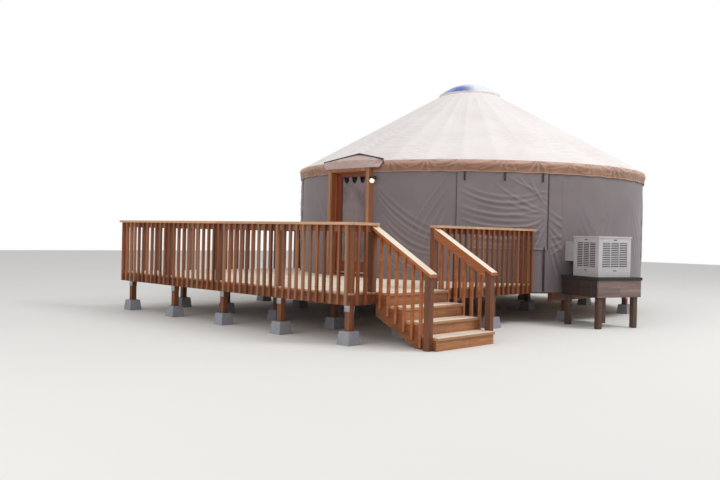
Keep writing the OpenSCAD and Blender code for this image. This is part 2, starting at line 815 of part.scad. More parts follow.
// Posts of the railing: they stand on the deck; the stair's newels stand on the ground
side_end_y = deck_back_y - post_w - end_post_gap;
module rail_post(x, y) {
    block([x - post_w / 2, y - post_w / 2, floor_z], [x + post_w / 2, y + post_w / 2, cap_z]);
}
module deck_rail_posts() {
    front_y = deck_y + post_w / 2;
    n = 4;
    for (i = [0:n])
        rail_post(rail_post_x[1] + i * (rail_post_x[0] - rail_post_x[1]) / n, front_y);
    rail_post(rail_post_x[0], newel_ys[0]);
    rail_post(rail_post_x[0], newel_ys[1]);
    rail_post(rail_post_x[0], side_end_y);
    rail_post(rail_post_x[1], side_end_y);
    rail_post(rail_post_x[1], (front_y + side_end_y) / 2);
}
module rail_posts() {
    color(cedar) {
        deck_rail_posts();
        for (y = newel_ys) difference() {
            block([newel_pos - post_w / 2, y - post_w / 2, 0],
                  [newel_pos + post_w / 2, y + post_w / 2, cap_z]);
            stair_rail_over(y);
        }
    }
}

// A run of balusters along +X from the origin, with the top rail behind them; the balusters
// keep clear of both ends by the given lengths
module baluster_run(len, start = 0, end = 0) {
    n = floor((len - start - end - bal_w) / bal_pitch);
    first = start + (len - start - end - n * bal_pitch) / 2;
    z0 = frame_z + bal_lift;
    for (i = [0:n])
        block([first + i * bal_pitch - bal_w / 2, -bal_w, z0],
              [first + i * bal_pitch + bal_w / 2, 0, cap_z]);
    block([0, 0, cap_z - top_rail_h], [len, top_rail_t, cap_z]);
}

module front_railing() {
    color(cedar) difference() {
        translate([-deck_half, deck_y, 0]) baluster_run(deck_w);
        deck_rail_posts();
    }
}

module side_run(y0, y1, start = 0, end = 0) {
    translate([deck_half, y0, 0]) rotate([0, 0, 90]) baluster_run(y1 - y0, start, end);
}
module left_railing() {
    color(cedar) difference() {
        mirror([1, 0, 0]) side_run(deck_y + top_rail_t, deck_back_y);
        deck_rail_posts();
    }
}

// Room that the stair's sloped rail takes beside its post
stair_side = cap_w / 2 + bal_w;
module right_railing() {
    color(cedar) difference() {
        union() {
            side_run(deck_y + top_rail_t, newel_ys[0], 0, stair_side);
            side_run(newel_ys[1], deck_back_y, stair_side, 0);
        }
        deck_rail_posts();
    }
}

// Cap: flat boards on top of the posts and balusters
module railing_cap() {
    out = bal_w + cap_out;
    in = cap_w - out;
    color(cedar_light) difference() {
        union() {
            block([-deck_half - out, deck_y - out, cap_z], [deck_half + out, deck_y + in, cap_z + cap_t]);
            block([-deck_half - out, deck_y - out, cap_z], [-deck_half + in, 0, cap_z + cap_t]);
            block([deck_half - in, deck_y - out, cap_z],
                  [deck_half + out, newel_ys[0] + post_w / 2, cap_z + cap_t]);
            block([deck_half - in, newel_ys[1] - post_w / 2, cap_z],
                  [deck_half + out, 0, cap_z + cap_t]);
        }
        translate([-deck_half + past / 2, deck_y + past, cap_z - 1])
            cube([deck_w - past, far, cap_t + 2]);
        translate([-far / 2, deck_back_y + cap_end, cap_z - 1]) cube([far, far, cap_t + 2]);
        for (s = [-1, 1]) at_az(s * atan(deck_half / -wall_y))
            block([-deck_r / 2, -deck_r - cap_clear, cap_z - 1],
                  [deck_r / 2, 0, cap_z + cap_t + 1]);
    }
}

// Stringer: an outline with a notch for each tread and riser
module stringer_outline() {
    back = nosing + riser_t;
    foot_x = nose_x(1) - back;
    top = [for (k = [1:steps]) each [[nose_x(k) - back, (k - 1) * rise - (k > 1 ? tread_t : 0)],
                                     [nose_x(k) - back, k * rise - tread_t]]];
    polygon(concat(top, [[deck_half, floor_z - tread_t], [deck_half, floor_z - tread_t - stringer_d],
                         [foot_x - going - stringer_toe, 0]]));
}
module stair_stringers() {
    color(cedar) for (y = [stair_y0, (stair_y0 + stair_y1 - stringer_t) / 2, stair_y1 - stringer_t])
        translate([0, y + stringer_t, 0]) rotate([90, 0, 0]) linear_extrude(stringer_t)
            stringer_outline();
}

module stair_risers() {
    color(cedar) for (k = [1:steps])
        block([nose_x(k) - nosing - riser_t, stair_y0, (k - 1) * rise],
              [nose_x(k) - nosing, stair_y1, k * rise - tread_t]);
}

module stair_treads() {
    color(cedar_light) for (k = [1:steps])
        block([k < steps ? nose_x(k + 1) - nosing : deck_half, stair_y0, k * rise - tread_t],
              [nose_x(k), stair_y1, k * rise]);
}

// Sloped rail on each side of the stair, from the deck's post to past the newel
rail_x0 = deck_half;
rail_x1 = newel_pos + post_w / 2 + stair_cap_over;
cap_v = cap_t / cos(stair_rail_pitch);
under_v = top_rail_h / cos(stair_rail_pitch);
module sloped_board(x0, x1, y0, w, drop, depth) {
    translate([0, y0 + w, 0]) rotate([90, 0, 0]) linear_extrude(w)
        polygon([[x0, stair_rail_z(x0) - drop], [x1, stair_rail_z(x1) - drop],
                 [x1, stair_rail_z(x1) - drop - depth], [x0, stair_rail_z(x0) - drop - depth]]);
}
module stair_rail_over(y) {
    sloped_board(rail_x0, rail_x1, y - post_w, 2 * post_w, -cap_z, cap_z + cap_v);
}
module stair_rail(y, out) {
    in_y = out < 0 ? y + cap_w / 2 - rail_lip - stringer_t : y - cap_w / 2 + rail_lip;
    bal_y = out < 0 ? stair_y0 - bal_w : stair_y1;
    len = newel_x - post_w / 2;
    n = floor((len - bal_w) / bal_pitch);
    first = deck_half + (len - (n - 1) * bal_pitch) / 2;
    sloped_board(rail_x0, rail_x1, y - cap_w / 2, cap_w, 0, cap_v);
    sloped_board(rail_x0, newel_pos - post_w / 2, in_y, stringer_t, cap_v / 2, cap_v / 2 + under_v);
    for (i = [0:n - 1]) {
        x = first + i * bal_pitch;
        translate([0, bal_y + bal_w, 0]) rotate([90, 0, 0]) linear_extrude(bal_w)
            polygon([[x - bal_w / 2, nose_line(x) - stair_bal_reach],
                     [x + bal_w / 2, nose_line(x) - stair_bal_reach],
                     [x + bal_w / 2, stair_rail_z(x + bal_w / 2) - cap_v / 2],
                     [x - bal_w / 2, stair_rail_z(x - bal_w / 2) - cap_v / 2]]);
    }
}
module stair_rails() {
    color(cedar) {
        stair_rail(newel_ys[0], -1);
        stair_rail(newel_ys[1], 1);
    }
}

// Cooler beside the wall, on a stand of its own
module cooler_cabinet() {
    color(beige) at_az(cooler_az) union() {
        difference() {
            block([-cooler_w / 2, cooler_y - cooler_d, stand_h],
                  [cooler_w / 2, cooler_y, stand_h + cooler_h - lid_t]);
            cooler_panels(0);
        }
        block([-cooler_w / 2 - lid_over, cooler_y - cooler_d - lid_over, stand_h + cooler_h - lid_t],
              [cooler_w / 2 + lid_over, cooler_y + lid_over, stand_h + cooler_h]);
    }
}
module cooler_panels(clear) {
    z0 = stand_h + cooler_foot + clear;
    z1 = stand_h + cooler_h - lid_t - cooler_border - clear;
    b = cooler_border + clear;
    block([-cooler_w / 2 + b, cooler_y - cooler_d - eps, z0],
          [cooler_w / 2 - b, cooler_y - cooler_d + louvre_t, z1]);
    for (s = [-1, 1])
        block([s < 0 ? -cooler_w / 2 - eps : cooler_w / 2 - louvre_t, cooler_y - cooler_d + b, z0],
              [s < 0 ? -cooler_w / 2 + louvre_t : cooler_w / 2 + eps, cooler_y - b, z1]);
}
module cooler_louvres() { color(beige) at_az(cooler_az) cooler_panels(0); }

module cooler_duct() {
    z0 = stand_h + cooler_h - duct_below - duct_h;
    color([0.55, 0.55, 0.54]) difference() {
        at_az(cooler_az)
            block([-duct_w / 2, cooler_y, z0], [duct_w / 2, -yurt_r + duct_in, z0 + duct_h]);
        translate([0, 0, z0 - 1]) cylinder(r = yurt_r, h = duct_h + 2);
    }
}

module stand_top() {
    color(dark) at_az(cooler_az)
        block([-stand_w / 2, stand_y - stand_d, stand_h - stand_top_t],
              [stand_w / 2, stand_y, stand_h]);
}
module stand_frame() {
    z1 = stand_h - stand_top_t;
    x = stand_w / 2 - stand_over;
    y0 = stand_y - stand_d + stand_over;
    y1 = stand_y - stand_over;
    color(dark_wood) at_az(cooler_az) union() {
        difference() {
            block([-x, y0, z1 - apron_h], [x, y1, z1]);
            block([-x + joist_t, y0 + joist_t, z1 - apron_h - 1], [x - joist_t, y1 - joist_t, z1 + 1]);
        }
        for (sx = [-1, 1], y = [y0 + joist_t, y1 - joist_t - post_w])
            block([sx < 0 ? -x + joist_t : x - joist_t - post_w, y, 0],
                  [sx < 0 ? -x + joist_t + post_w : x - joist_t, y + post_w, z1]);
    }
}

wall_panel(0);  // wall_front_right
wall_panel(1);  // wall_right
wall_panel(2);  // wall_back_right
wall_panel(3);  // wall_back
wall_panel(4);  // wall_back_left
wall_panel(5);  // wall_left
wall_panel(6);  // wall_front_left
wall_over_door();
window_panes();
window_flaps();
valance();
roof_gore(0);  // roof_gore_1
roof_gore(1);  // roof_gore_2
roof_gore(2);  // roof_gore_3
roof_gore(3);  // roof_gore_4
roof_gore(4);  // roof_gore_5
roof_gore(5);  // roof_gore_6
centre_ring();
skylight_curb();
skylight_dome();
rafters();
lattice_right();
lattice_left();
platform_floor();
platform_frame();
support_posts();
pier_blocks();
door_frame();
door_leaf();
door_glass();
door_curtain();
door_knob();
door_flap();
rain_strip();
porch_light();
deck_boards();
deck_frame();
rail_posts();
front_railing();
left_railing();
right_railing();
railing_cap();
stair_stringers();
stair_risers();
stair_treads();
stair_rails();
cooler_cabinet();
cooler_louvres();
cooler_duct();
stand_top();
stand_frame();
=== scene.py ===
"""Round fabric yurt with a timber deck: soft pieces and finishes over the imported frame."""

import logging
import math
from collections.abc import Callable, Iterable, Sequence
from dataclasses import dataclass
from enum import Enum
from typing import Any, ClassVar

import bpy
import numpy as np
from mathutils import Matrix, Vector


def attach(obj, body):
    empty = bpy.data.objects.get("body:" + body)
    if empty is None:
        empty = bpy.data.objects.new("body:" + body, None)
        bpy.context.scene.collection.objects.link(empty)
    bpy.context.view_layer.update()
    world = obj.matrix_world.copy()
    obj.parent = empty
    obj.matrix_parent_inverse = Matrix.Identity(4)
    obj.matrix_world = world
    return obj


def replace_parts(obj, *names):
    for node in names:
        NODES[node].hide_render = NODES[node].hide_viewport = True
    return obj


log = logging.getLogger("yurt")
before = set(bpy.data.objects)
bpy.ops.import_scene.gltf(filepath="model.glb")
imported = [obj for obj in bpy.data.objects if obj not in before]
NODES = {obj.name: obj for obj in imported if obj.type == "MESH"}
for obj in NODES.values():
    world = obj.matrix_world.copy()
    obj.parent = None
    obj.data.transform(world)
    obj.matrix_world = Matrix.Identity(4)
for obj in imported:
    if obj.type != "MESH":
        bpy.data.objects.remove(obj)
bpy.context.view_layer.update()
YURT, DOOR = "yurt", "door"

Array = np.ndarray
Colour = tuple[float, float, float]
Piece = bpy.types.Object
Place = Sequence[float]
Box = tuple[Place, Place]
Shape = Callable[[Array, Array], Array]


class Shade:
    """One output socket of a material, used in plain Python expressions."""

    def __init__(self, surface: "Surface", socket: bpy.types.NodeSocket) -> None:
        """Keeps the socket and the material that it belongs to."""
        self.surface, self.socket = surface, socket

    def math(self, operation: str, *others: "Shade | float") -> "Shade":
        """Adds one Math node, with further operands where the operation has them."""
        values = dict(enumerate((self, *others)))
        return self.surface.add("ShaderNodeMath", values, operation=operation)

    def __add__(self, other: "Shade | float") -> "Shade":
        """Sum."""
        return self.math("ADD", other)

    def __sub__(self, other: "Shade | float") -> "Shade":
        """Difference."""
        return self.math("SUBTRACT", other)

    def __mul__(self, other: "Shade | float") -> "Shade":
        """Product."""
        return self.math("MULTIPLY", other)

    def __truediv__(self, other: "Shade | float") -> "Shade":
        """Quotient."""
        return self.math("DIVIDE", other)

    def smooth(self, low: float, high: float) -> "Shade":
        """Soft step from 0 at the first value to 1 at the second."""
        values = {"Value": self, "From Min": low, "From Max": high}
        return self.surface.add("ShaderNodeMapRange", values, interpolation_type="SMOOTHSTEP")


class Surface:
    """A node material with one Principled shader."""

    def __init__(self, name: str) -> None:
        """Starts an empty material with that name."""
        self.material = bpy.data.materials.new(name)
        self.material.use_nodes = True
        self.tree = self.material.node_tree
        self.shader = self.tree.nodes["Principled BSDF"]

    def add(self, kind: str, values: dict[int | str, Any] | None = None,
            output: int | str = 0, **settings: Any) -> Shade:
        """Adds one node.

        Args:
            kind: Node type.
            values: Socket index or name to a number, vector or Shade.
            output: Index or name of the wanted output.
            settings: Properties of the node, set before its sockets.

        Returns:
            The output socket, wrapped.
        """
        node = self.tree.nodes.new(kind)
        for key, value in settings.items():
            setattr(node, key, value)
        for key, value in (values or {}).items():
            self.feed(node.inputs[key], value)
        return Shade(self, node.outputs[output])

    def feed(self, socket: bpy.types.NodeSocket, value: Any) -> None:
        """Links a Shade to a socket, or sets a plain value on it.

        Args:
            socket: Input of a node.
            value: Shade, number, vector, or colour without its alpha.
        """
        if isinstance(value, Shade):
            self.tree.links.new(value.socket, socket)
        else:
            socket.default_value = (*value, 1.0) if socket.type == "RGBA" else value

    def place(self, source: str = "Object", turn: float = 0.0) -> Shade:
        """Coordinates: Object for the shared frame, turned about Z, or UV for a sheet's own map."""
        at = self.add("ShaderNodeTexCoord", output=source)
        return self.add("ShaderNodeMapping", {"Vector": at, "Rotation": (0, 0, turn)})

    def axes(self, vector: Shade) -> list[Shade]:
        """Splits a vector into its three numbers."""
        split = self.add("ShaderNodeSeparateXYZ", {0: vector})
        return [Shade(self, out) for out in split.socket.node.outputs]

    def join(self, x: Shade, y: Shade, z: Shade) -> Shade:
        """Makes a vector of three numbers."""
        return self.add("ShaderNodeCombineXYZ", {0: x, 1: y, 2: z})

    def noise(self, at: Shade, scale: float, detail: float, rough: float) -> Shade:
        """Cloudy noise about 0.5, with that many clouds in a metre, octaves and fine weight."""
        values = {"Vector": at, "Scale": scale, "Detail": detail, "Roughness": rough}
        return self.add("ShaderNodeTexNoise", values)

    def mix(self, mask: Shade | float, first: Any, second: Any, blend: str = "MIX") -> Shade:
        """Mixes two colours or Shades, 0 for the first and 1 for the second."""
        values = {0: mask, 6: first, 7: second}
        return self.add("ShaderNodeMix", values, 2, data_type="RGBA", blend_type=blend)

    def relief(self, height: Shade, depth: float, strength: float) -> None:
        """Bumps the surface by a height from 0 to 1, times a depth in metres."""
        values = {"Height": height, "Distance": depth, "Strength": strength}
        self.set(Normal=self.add("ShaderNodeBump", values))

    def set(self, **inputs: Any) -> None:
        """Feeds the shader's inputs, named with underscores for spaces."""
        for key, value in inputs.items():
            self.feed(self.shader.inputs[key.replace("_", " ")], value)


@dataclass(frozen=True)
class Finish:
    """A finish: builds its material once and dresses pieces in it."""

    made: ClassVar[dict[str, bpy.types.Material]] = {}
    name: str

    def paint(self, surface: Surface) -> None:
        """Adds the finish's nodes."""
        raise NotImplementedError

    def dress(self, piece: Piece) -> Piece:
        """Puts the material, built at its first use, into every slot of a piece.

        Args:
            piece: The piece.

        Returns:
            The same piece.
        """
        if self.name not in Finish.made:
            surface = Surface(self.name)
            self.paint(surface)
            Finish.made[self.name] = surface.material
        if not piece.material_slots:
            piece.data.materials.append(None)
        for slot in piece.material_slots:
            slot.material = Finish.made[self.name]
        return piece


class Grain(Enum):
    """Direction of a board's grain, as the pattern's stretch along each axis."""

    ALONG_X = (0.05, 1.0, 1.0)
    ALONG_Y = (1.0, 0.05, 1.0)
    UPRIGHT = (1.0, 1.0, 0.05)


@dataclass(frozen=True)
class StainedWood(Finish):
    """Stained timber: grain, a tint and some fading for each board, and paler upper faces, partly
    wear and partly painted sunlight.
    """

    light: Colour
    dark: Colour
    grain: Grain
    cell: tuple[float, float, float]
    start: tuple[float, float, float] = (0.0, 0.0, 0.0)
    worn_and_sunlit_top: Colour | None = None
    worn_and_sunlit_least: float = 0.5
    faded: Colour | None = None
    spread: float = 0.35
    roughness: float = 0.62
    turn: float = 0.0

    def paint(self, surface: Surface) -> None:
        """Adds the grain, the board tints, and paler upper faces from wear and painted sunlight."""
        at = surface.place(turn=self.turn)
        axes = surface.axes(at)
        cells = [((axis - start) / size).math("FLOOR")
                 for axis, start, size in zip(axes, self.start, self.cell)]
        board = surface.add("ShaderNodeTexWhiteNoise", {"Vector": surface.join(*cells)})
        x, y, z = (axis * stretch for axis, stretch in zip(axes, self.grain.value))
        shift = board * 7.0
        streak_at = surface.join(x + shift, y + shift, z)
        streaks = surface.noise(streak_at, 42.0, 6.0, 0.62)
        fine = surface.noise(streak_at, 190.0, 3.0, 0.6)
        knots = surface.noise(streak_at, 9.0, 2.0, 0.4)
        grain = (streaks * 0.6 + fine * 0.2 + knots * 0.4 - 0.12).smooth(0.2, 0.78)
        base = surface.mix(grain, self.dark, self.light)
        tint = surface.mix(board, (1 - self.spread,) * 3, (1.0, 1.0, 1.0))
        colour = surface.mix(1.0, base, tint, "MULTIPLY")
        if self.faded:
            other = (board * 7.31).math("FRACT")
            share = other.smooth(0.35, 1.0) * 0.55 + streaks.smooth(0.55, 0.75) * 0.3
            colour = surface.mix(share, colour, self.faded)
        # Upper faces turn paler: partly wear, partly painted sunlight on the tops.
        if self.worn_and_sunlit_top:
            up = surface.axes(surface.add("ShaderNodeTexCoord", output="Normal"))[2]
            patches = surface.noise(at, 3.0, 4.0, 0.6).smooth(0.3, 0.62)
            share = patches * (1 - self.worn_and_sunlit_least) + self.worn_and_sunlit_least
            colour = surface.mix(up.smooth(0.4, 0.9) * share, colour, self.worn_and_sunlit_top)
        surface.set(Base_Color=colour, Roughness=streaks * 0.25 + (self.roughness - 0.12))
        surface.relief(streaks * 0.7 + fine * 0.3, 0.0015, 0.5)


@dataclass(frozen=True)
class CoatedCloth(Finish):
    """Coated tent fabric: a fine weave on the sheet's own map, dust and soft stains, and painted
    shade and highlight on its folds.
    """

    colour: Colour
    stain: Colour
    stains: float
    thread: float = 0.0016
    roughness: float = 0.62
    sheen: float = 0.15
    hem: Colour | None = None
    hem_from: float = 0.0
    # A painted highlight on the sheet's upper part: its colour, and where it starts and where it is
    # full.
    top: Colour | None = None
    top_highlight_from: float = 0.11
    top_highlight_full: float = 0.235
    # Shares of painted shade in the hollows of folds and painted highlight on their ridges.
    painted_fold_shade: float = 0.34
    painted_ridge_highlight: float = 0.30

    def paint(self, surface: Surface) -> None:
        """Adds the weave, stains, a painted highlight on the upper part, a hem, and painted fold
        shade and ridge highlight.
        """
        u, v, _ = surface.axes(surface.place("UV"))
        shared = surface.place()
        clouds = surface.noise(shared, 0.9, 5.0, 0.6).smooth(0.35, 0.72)
        fine = surface.noise(shared, 14.0, 4.0, 0.6)
        colour = surface.mix(clouds * self.stains, self.colour, self.stain)
        # Painted highlight on the upper part.
        if self.top:
            ragged_highlight_edge = fine * 0.05 + v
            colour = surface.mix(ragged_highlight_edge.smooth(self.top_highlight_from, self.top_highlight_full), colour, self.top)
        dust = surface.mix(fine, (0.93, 0.93, 0.93), (1.0, 1.0, 1.0))
        colour = surface.mix(1.0, colour, dust, "MULTIPLY")
        if self.hem:
            edge = v.smooth(self.hem_from + 0.003, self.hem_from)
            colour = surface.mix(edge, colour, self.hem)
        # Painted shade in the hollows and painted highlight on the ridges, from how far the cloth
        # stands out.
        fold = surface.add("ShaderNodeAttribute", output=2, attribute_name="fold")
        fold_shade_colour = tuple(c * 0.45 for c in self.stain)
        painted_ridge_highlight = tuple(min(1.0, c * 1.5 + 0.02) for c in self.colour)
        colour = surface.mix((fold * -1.0).smooth(0.03, 0.9) * self.painted_fold_shade, colour, fold_shade_colour)
        colour = surface.mix(fold.smooth(0.1, 1.0) * self.painted_ridge_highlight, colour, painted_ridge_highlight)
        turns = 2 * math.pi / self.thread
        weave = (u * turns).math("SINE") * (v * turns).math("SINE")
        surface.set(Base_Color=colour, Roughness=fine * 0.12 + (self.roughness - 0.06),
                    Sheen_Weight=self.sheen, Sheen_Roughness=0.5)
        surface.relief(weave * 0.12 + fine * 0.5 + clouds * 0.3, 0.0012, 0.45)


@dataclass(frozen=True)
class SheerCloth(Finish):
    """Thin curtain cloth that lets some light through."""

    colour: Colour
    shade: Colour
    cover: float = 0.93
    threads: float = 2600.0

    def paint(self, surface: Surface) -> None:
        """Adds a soft weave and an even transparency."""
        u, v, _ = surface.axes(surface.place("UV"))
        cloud = surface.noise(surface.place(), 6.0, 4.0, 0.55)
        thread = (u * self.threads).math("SINE") * (v * self.threads).math("SINE")
        surface.set(Base_Color=surface.mix(cloud, self.shade, self.colour), Roughness=0.85,
                    Sheen_Weight=0.3, Alpha=thread * 0.03 + self.cover)
        surface.relief(thread * 0.3 + cloud * 0.4, 0.0008, 0.4)


@dataclass(frozen=True)
class ClearSheet(Finish):
    """Clear plastic or glass with faint smears, and where given, a painted sun glare on one side."""

    colour: Colour
    cover: float
    gloss: float
    tint: Colour | None = None
    painted_sun_glare: Colour | None = None
    glare_toward: tuple[float, float] = (0.72, 0.69)

    def paint(self, surface: Surface) -> None:
        """Adds smears, a painted sun glare on one side, and a see-through body."""
        at = surface.place()
        smear = surface.noise(at, 3.2, 5.0, 0.6).smooth(0.4, 0.75)
        colour = surface.mix(smear, self.colour, self.tint or self.colour)
        # Painted sun glare: the side towards the light turns white.
        if self.painted_sun_glare:
            x, y, _ = surface.axes(at)
            side = x * self.glare_toward[0] + y * self.glare_toward[1] + smear * 0.12
            colour = surface.mix(side.smooth(-0.25, 0.15), colour, self.painted_sun_glare)
        surface.set(Base_Color=colour, Roughness=smear * 0.1 + self.gloss,
                    Alpha=smear * 0.12 + self.cover, IOR=1.45)
        surface.relief(smear, 0.001, 0.15)


@dataclass(frozen=True)
class SheetMetal(Finish):
    """Painted or bare sheet metal with scuffs and grime."""

    colour: Colour
    grime: Colour
    metallic: float = 0.0
    roughness: float = 0.42
    scuffs: float = 0.5
    scale: float = 5.0

    def paint(self, surface: Surface) -> None:
        """Adds grime in clouds and small scuffs."""
        at = surface.place()
        clouds = surface.noise(at, self.scale, 5.0, 0.65).smooth(0.42, 0.78)
        specks = surface.noise(at, self.scale * 22, 2.0, 0.5).smooth(0.62, 0.72)
        colour = surface.mix(clouds * self.scuffs, self.colour, self.grime)
        colour = surface.mix(specks * 0.35, colour, self.grime)
        surface.set(Base_Color=colour, Metallic=self.metallic,
                    Roughness=clouds * 0.25 + self.roughness)
        surface.relief(clouds * 0.5 + specks * 0.5, 0.0008, 0.35)


@dataclass(frozen=True)
class CastConcrete(Finish):
    """Grey concrete with sand grain, clouds and pits."""

    colour: Colour
    pits: Colour

    def paint(self, surface: Surface) -> None:
        """Adds sand grain, clouds and pits."""
        at = surface.place()
        sand = surface.noise(at, 220.0, 2.0, 0.6)
        clouds = surface.noise(at, 7.0, 5.0, 0.6)
        pits = surface.noise(at, 55.0, 1.0, 0.4).smooth(0.66, 0.74)
        colour = surface.mix(clouds, self.pits, self.colour)
        surface.set(Base_Color=surface.mix(pits * 0.7, colour, self.pits),
                    Roughness=sand * 0.1 + 0.82)
        surface.relief(sand * 0.3 + clouds * 0.5 - pits * 0.6, 0.003, 0.6)


@dataclass(frozen=True)
class Rubber(Finish):
    """Dull rubber or webbing."""

    colour: Colour
    ribs: float = 0.0

    def paint(self, surface: Surface) -> None:
        """Adds dust and, for webbing, fine ribs."""
        at = surface.place()
        dust = height = surface.noise(at, 30.0, 4.0, 0.6)
        pale = tuple(min(1.0, c * 1.8 + 0.02) for c in self.colour)
        surface.set(Base_Color=surface.mix(dust.smooth(0.45, 0.8), self.colour, pale),
                    Roughness=dust * 0.2 + 0.6)
        if self.ribs:
            height = (surface.axes(at)[2] * self.ribs).math("SINE") * 0.5 + dust * 0.5
        surface.relief(height, 0.001, 0.5)


@dataclass(frozen=True)
class GlowingGlobe(Finish):
    """Frosted lamp glass with a warm glow."""

    colour: Colour
    heart: Colour = (1.0, 0.95, 0.82)
    glow: float = 1.1

    def paint(self, surface: Surface) -> None:
        """Adds a glow with soft clouds in it."""
        cloud = surface.noise(surface.place(), 18.0, 3.0, 0.5)
        warm = surface.mix(cloud, self.colour, self.heart)
        surface.set(Base_Color=warm, Emission_Color=warm, Emission_Strength=self.glow,
                    Roughness=cloud * 0.1 + 0.25)
        surface.relief(cloud, 0.0005, 0.2)


def srgb(red: int, green: int, blue: int) -> Colour:
    """A colour as a picture shows it, 0 to 255, made linear."""
    parts = [c / 255 for c in (red, green, blue)]
    return tuple(c / 12.92 if c <= 0.04045 else ((c + 0.055) / 1.055) ** 2.4 for c in parts)


WALL_CLOTH = CoatedCloth("wall_cloth", srgb(124, 113, 116), srgb(104, 94, 99), 0.6)
FLAP_CLOTH = CoatedCloth("flap_cloth", srgb(127, 116, 119), srgb(107, 97, 102), 0.6,
                         hem=srgb(140, 130, 130), hem_from=0.015)
ROOF_CLOTH = CoatedCloth("roof_cloth", srgb(236, 230, 228), srgb(214, 200, 194), 0.4,
                         roughness=0.55, painted_fold_shade=0.26, painted_ridge_highlight=0.2)
# The valance's top colour is a painted highlight on its bulging upper part.
VALANCE_CLOTH = CoatedCloth("valance_cloth", srgb(156, 115, 91), srgb(122, 88, 70), 0.7,
                            hem=srgb(172, 132, 107), hem_from=0.012, top=srgb(200, 166, 150))
# Painted shade: the door flap is coloured darker and pinker than the roof cloth, as it looks in
# shade.
DOOR_FLAP_SHADED_CLOTH = CoatedCloth("door_flap_cloth", srgb(198, 174, 170), srgb(168, 140, 132), 0.6,
                              painted_fold_shade=0.2, painted_ridge_highlight=0.2)
CURTAIN_CLOTH = SheerCloth("curtain_cloth", srgb(196, 176, 178), srgb(146, 128, 131))
WEBBING = Rubber("black_webbing", srgb(30, 28, 30), ribs=1400.0)
DARK_TRIM = Rubber("dark_trim", srgb(48, 36, 34))
FAN_PAD = Rubber("cooler_pad", srgb(70, 68, 70))
STAND_BLACK = Rubber("stand_black", srgb(34, 32, 33))
CLEAR_PANE = ClearSheet("clear_pane", srgb(214, 222, 228), 0.28, 0.12)
# The dome's blue and its paler smears are a painted sky reflection; its white side is a painted sun
# glare.
DOME_PANE = ClearSheet("dome_pane", srgb(70, 92, 186), 0.86, 0.08, srgb(150, 170, 226),
                       srgb(240, 243, 250))
DOOR_PANE = ClearSheet("door_pane", srgb(40, 42, 46), 0.12, 0.03)
CURB_METAL = SheetMetal("curb_metal", srgb(222, 218, 212), srgb(180, 172, 162), 0.0, 0.4)
COOLER_METAL = SheetMetal("cooler_metal", srgb(192, 189, 191), srgb(150, 145, 143), scuffs=0.35)
DUCT_METAL = SheetMetal("duct_metal", srgb(176, 173, 174), srgb(134, 128, 126), 0.0, 0.45)
ZINC = SheetMetal("zinc_plate", srgb(168, 170, 172), srgb(120, 120, 120), 0.8, 0.4, scale=14.0)
LAMP_METAL = SheetMetal("lamp_metal", srgb(34, 32, 36), srgb(60, 56, 54), 0.3, 0.4, scale=20.0)
BRASS = SheetMetal("knob_brass", srgb(196, 160, 96), srgb(140, 104, 60), 0.9, 0.25, scale=30.0)
CONCRETE = CastConcrete("cast_concrete", srgb(162, 163, 170), srgb(124, 125, 132))
GLOBE = GlowingGlobe("lamp_globe", srgb(255, 226, 170))

CEDAR = srgb(174, 101, 56), srgb(84, 45, 26)
POST = srgb(156, 92, 54), srgb(80, 47, 30)
# Worn pale stain; as the upper-face colour of cedar it is partly painted sunlight.
WORN_AND_SUNLIT = srgb(208, 160, 116), srgb(152, 100, 65)
CAP = srgb(222, 184, 146), srgb(176, 126, 88)
PINE = srgb(222, 186, 138), srgb(180, 136, 88)
CASING = srgb(186, 146, 114), srgb(140, 100, 74)
JAMB = srgb(196, 122, 72), srgb(132, 74, 40)
LEAF = srgb(150, 74, 48), srgb(92, 38, 26)
RISER = srgb(196, 134, 82), srgb(134, 80, 46)
# Painted sunlight: the stair rails are coloured brighter and more orange than CEDAR, as sunlit cedar.
SUNLIT_STAIR_RAIL = srgb(206, 122, 64), srgb(136, 74, 38)
STAND_BOARD = srgb(150, 125, 117), srgb(98, 80, 77)
# Painted shade: a much darker copy of the stand board's weathered wood, for the stand's sides and
# back.
STAND_SHADED_WOOD = srgb(70, 52, 47), srgb(42, 32, 30)
STAND_LEG = srgb(108, 79, 64), srgb(62, 45, 38)
CEDAR_FADED = srgb(166, 124, 96)
RISER_FADED = srgb(196, 150, 112)
# Near-white upper faces: partly weathering, partly painted sunlight.
WEATHERED_AND_SUNLIT = srgb(240, 226, 208)
WHOLE = 20.0  # A cell size that is larger than the part, so that it parts no boards.


def cedar(name: str, grain: Grain, *cell: float, **more: Any) -> StainedWood:
    """Red-brown stained timber with paler upper faces, partly wear and partly painted sunlight."""
    return StainedWood(name, *CEDAR, grain, cell, worn_and_sunlit_top=WORN_AND_SUNLIT[0], spread=0.42, **more)


def worn_and_sunlit_cedar(name: str, grain: Grain, *cell: float, **more: Any) -> StainedWood:
    """Timber whose stain has worn pale, for treads and deck boards, with upper faces paler still from
    weathering and painted sunlight.
    """
    return StainedWood(name, *WORN_AND_SUNLIT, grain, cell, worn_and_sunlit_top=WEATHERED_AND_SUNLIT, worn_and_sunlit_least=0.72, spread=0.18,
                       **more)


def pine(name: str, grain: Grain, *cell: float) -> StainedWood:
    """Clear pine for the inside."""
    return StainedWood(name, *PINE, grain, cell, spread=0.2, roughness=0.5)


def activate(*pieces: Piece) -> None:
    """Leaves edit mode, selects these pieces alone, and makes the first one active."""
    if bpy.context.mode != "OBJECT":
        bpy.ops.object.mode_set(mode="OBJECT")
    bpy.ops.object.select_all(action="DESELECT")
    for piece in reversed(pieces):
        piece.select_set(True)
        bpy.context.view_layer.objects.active = piece


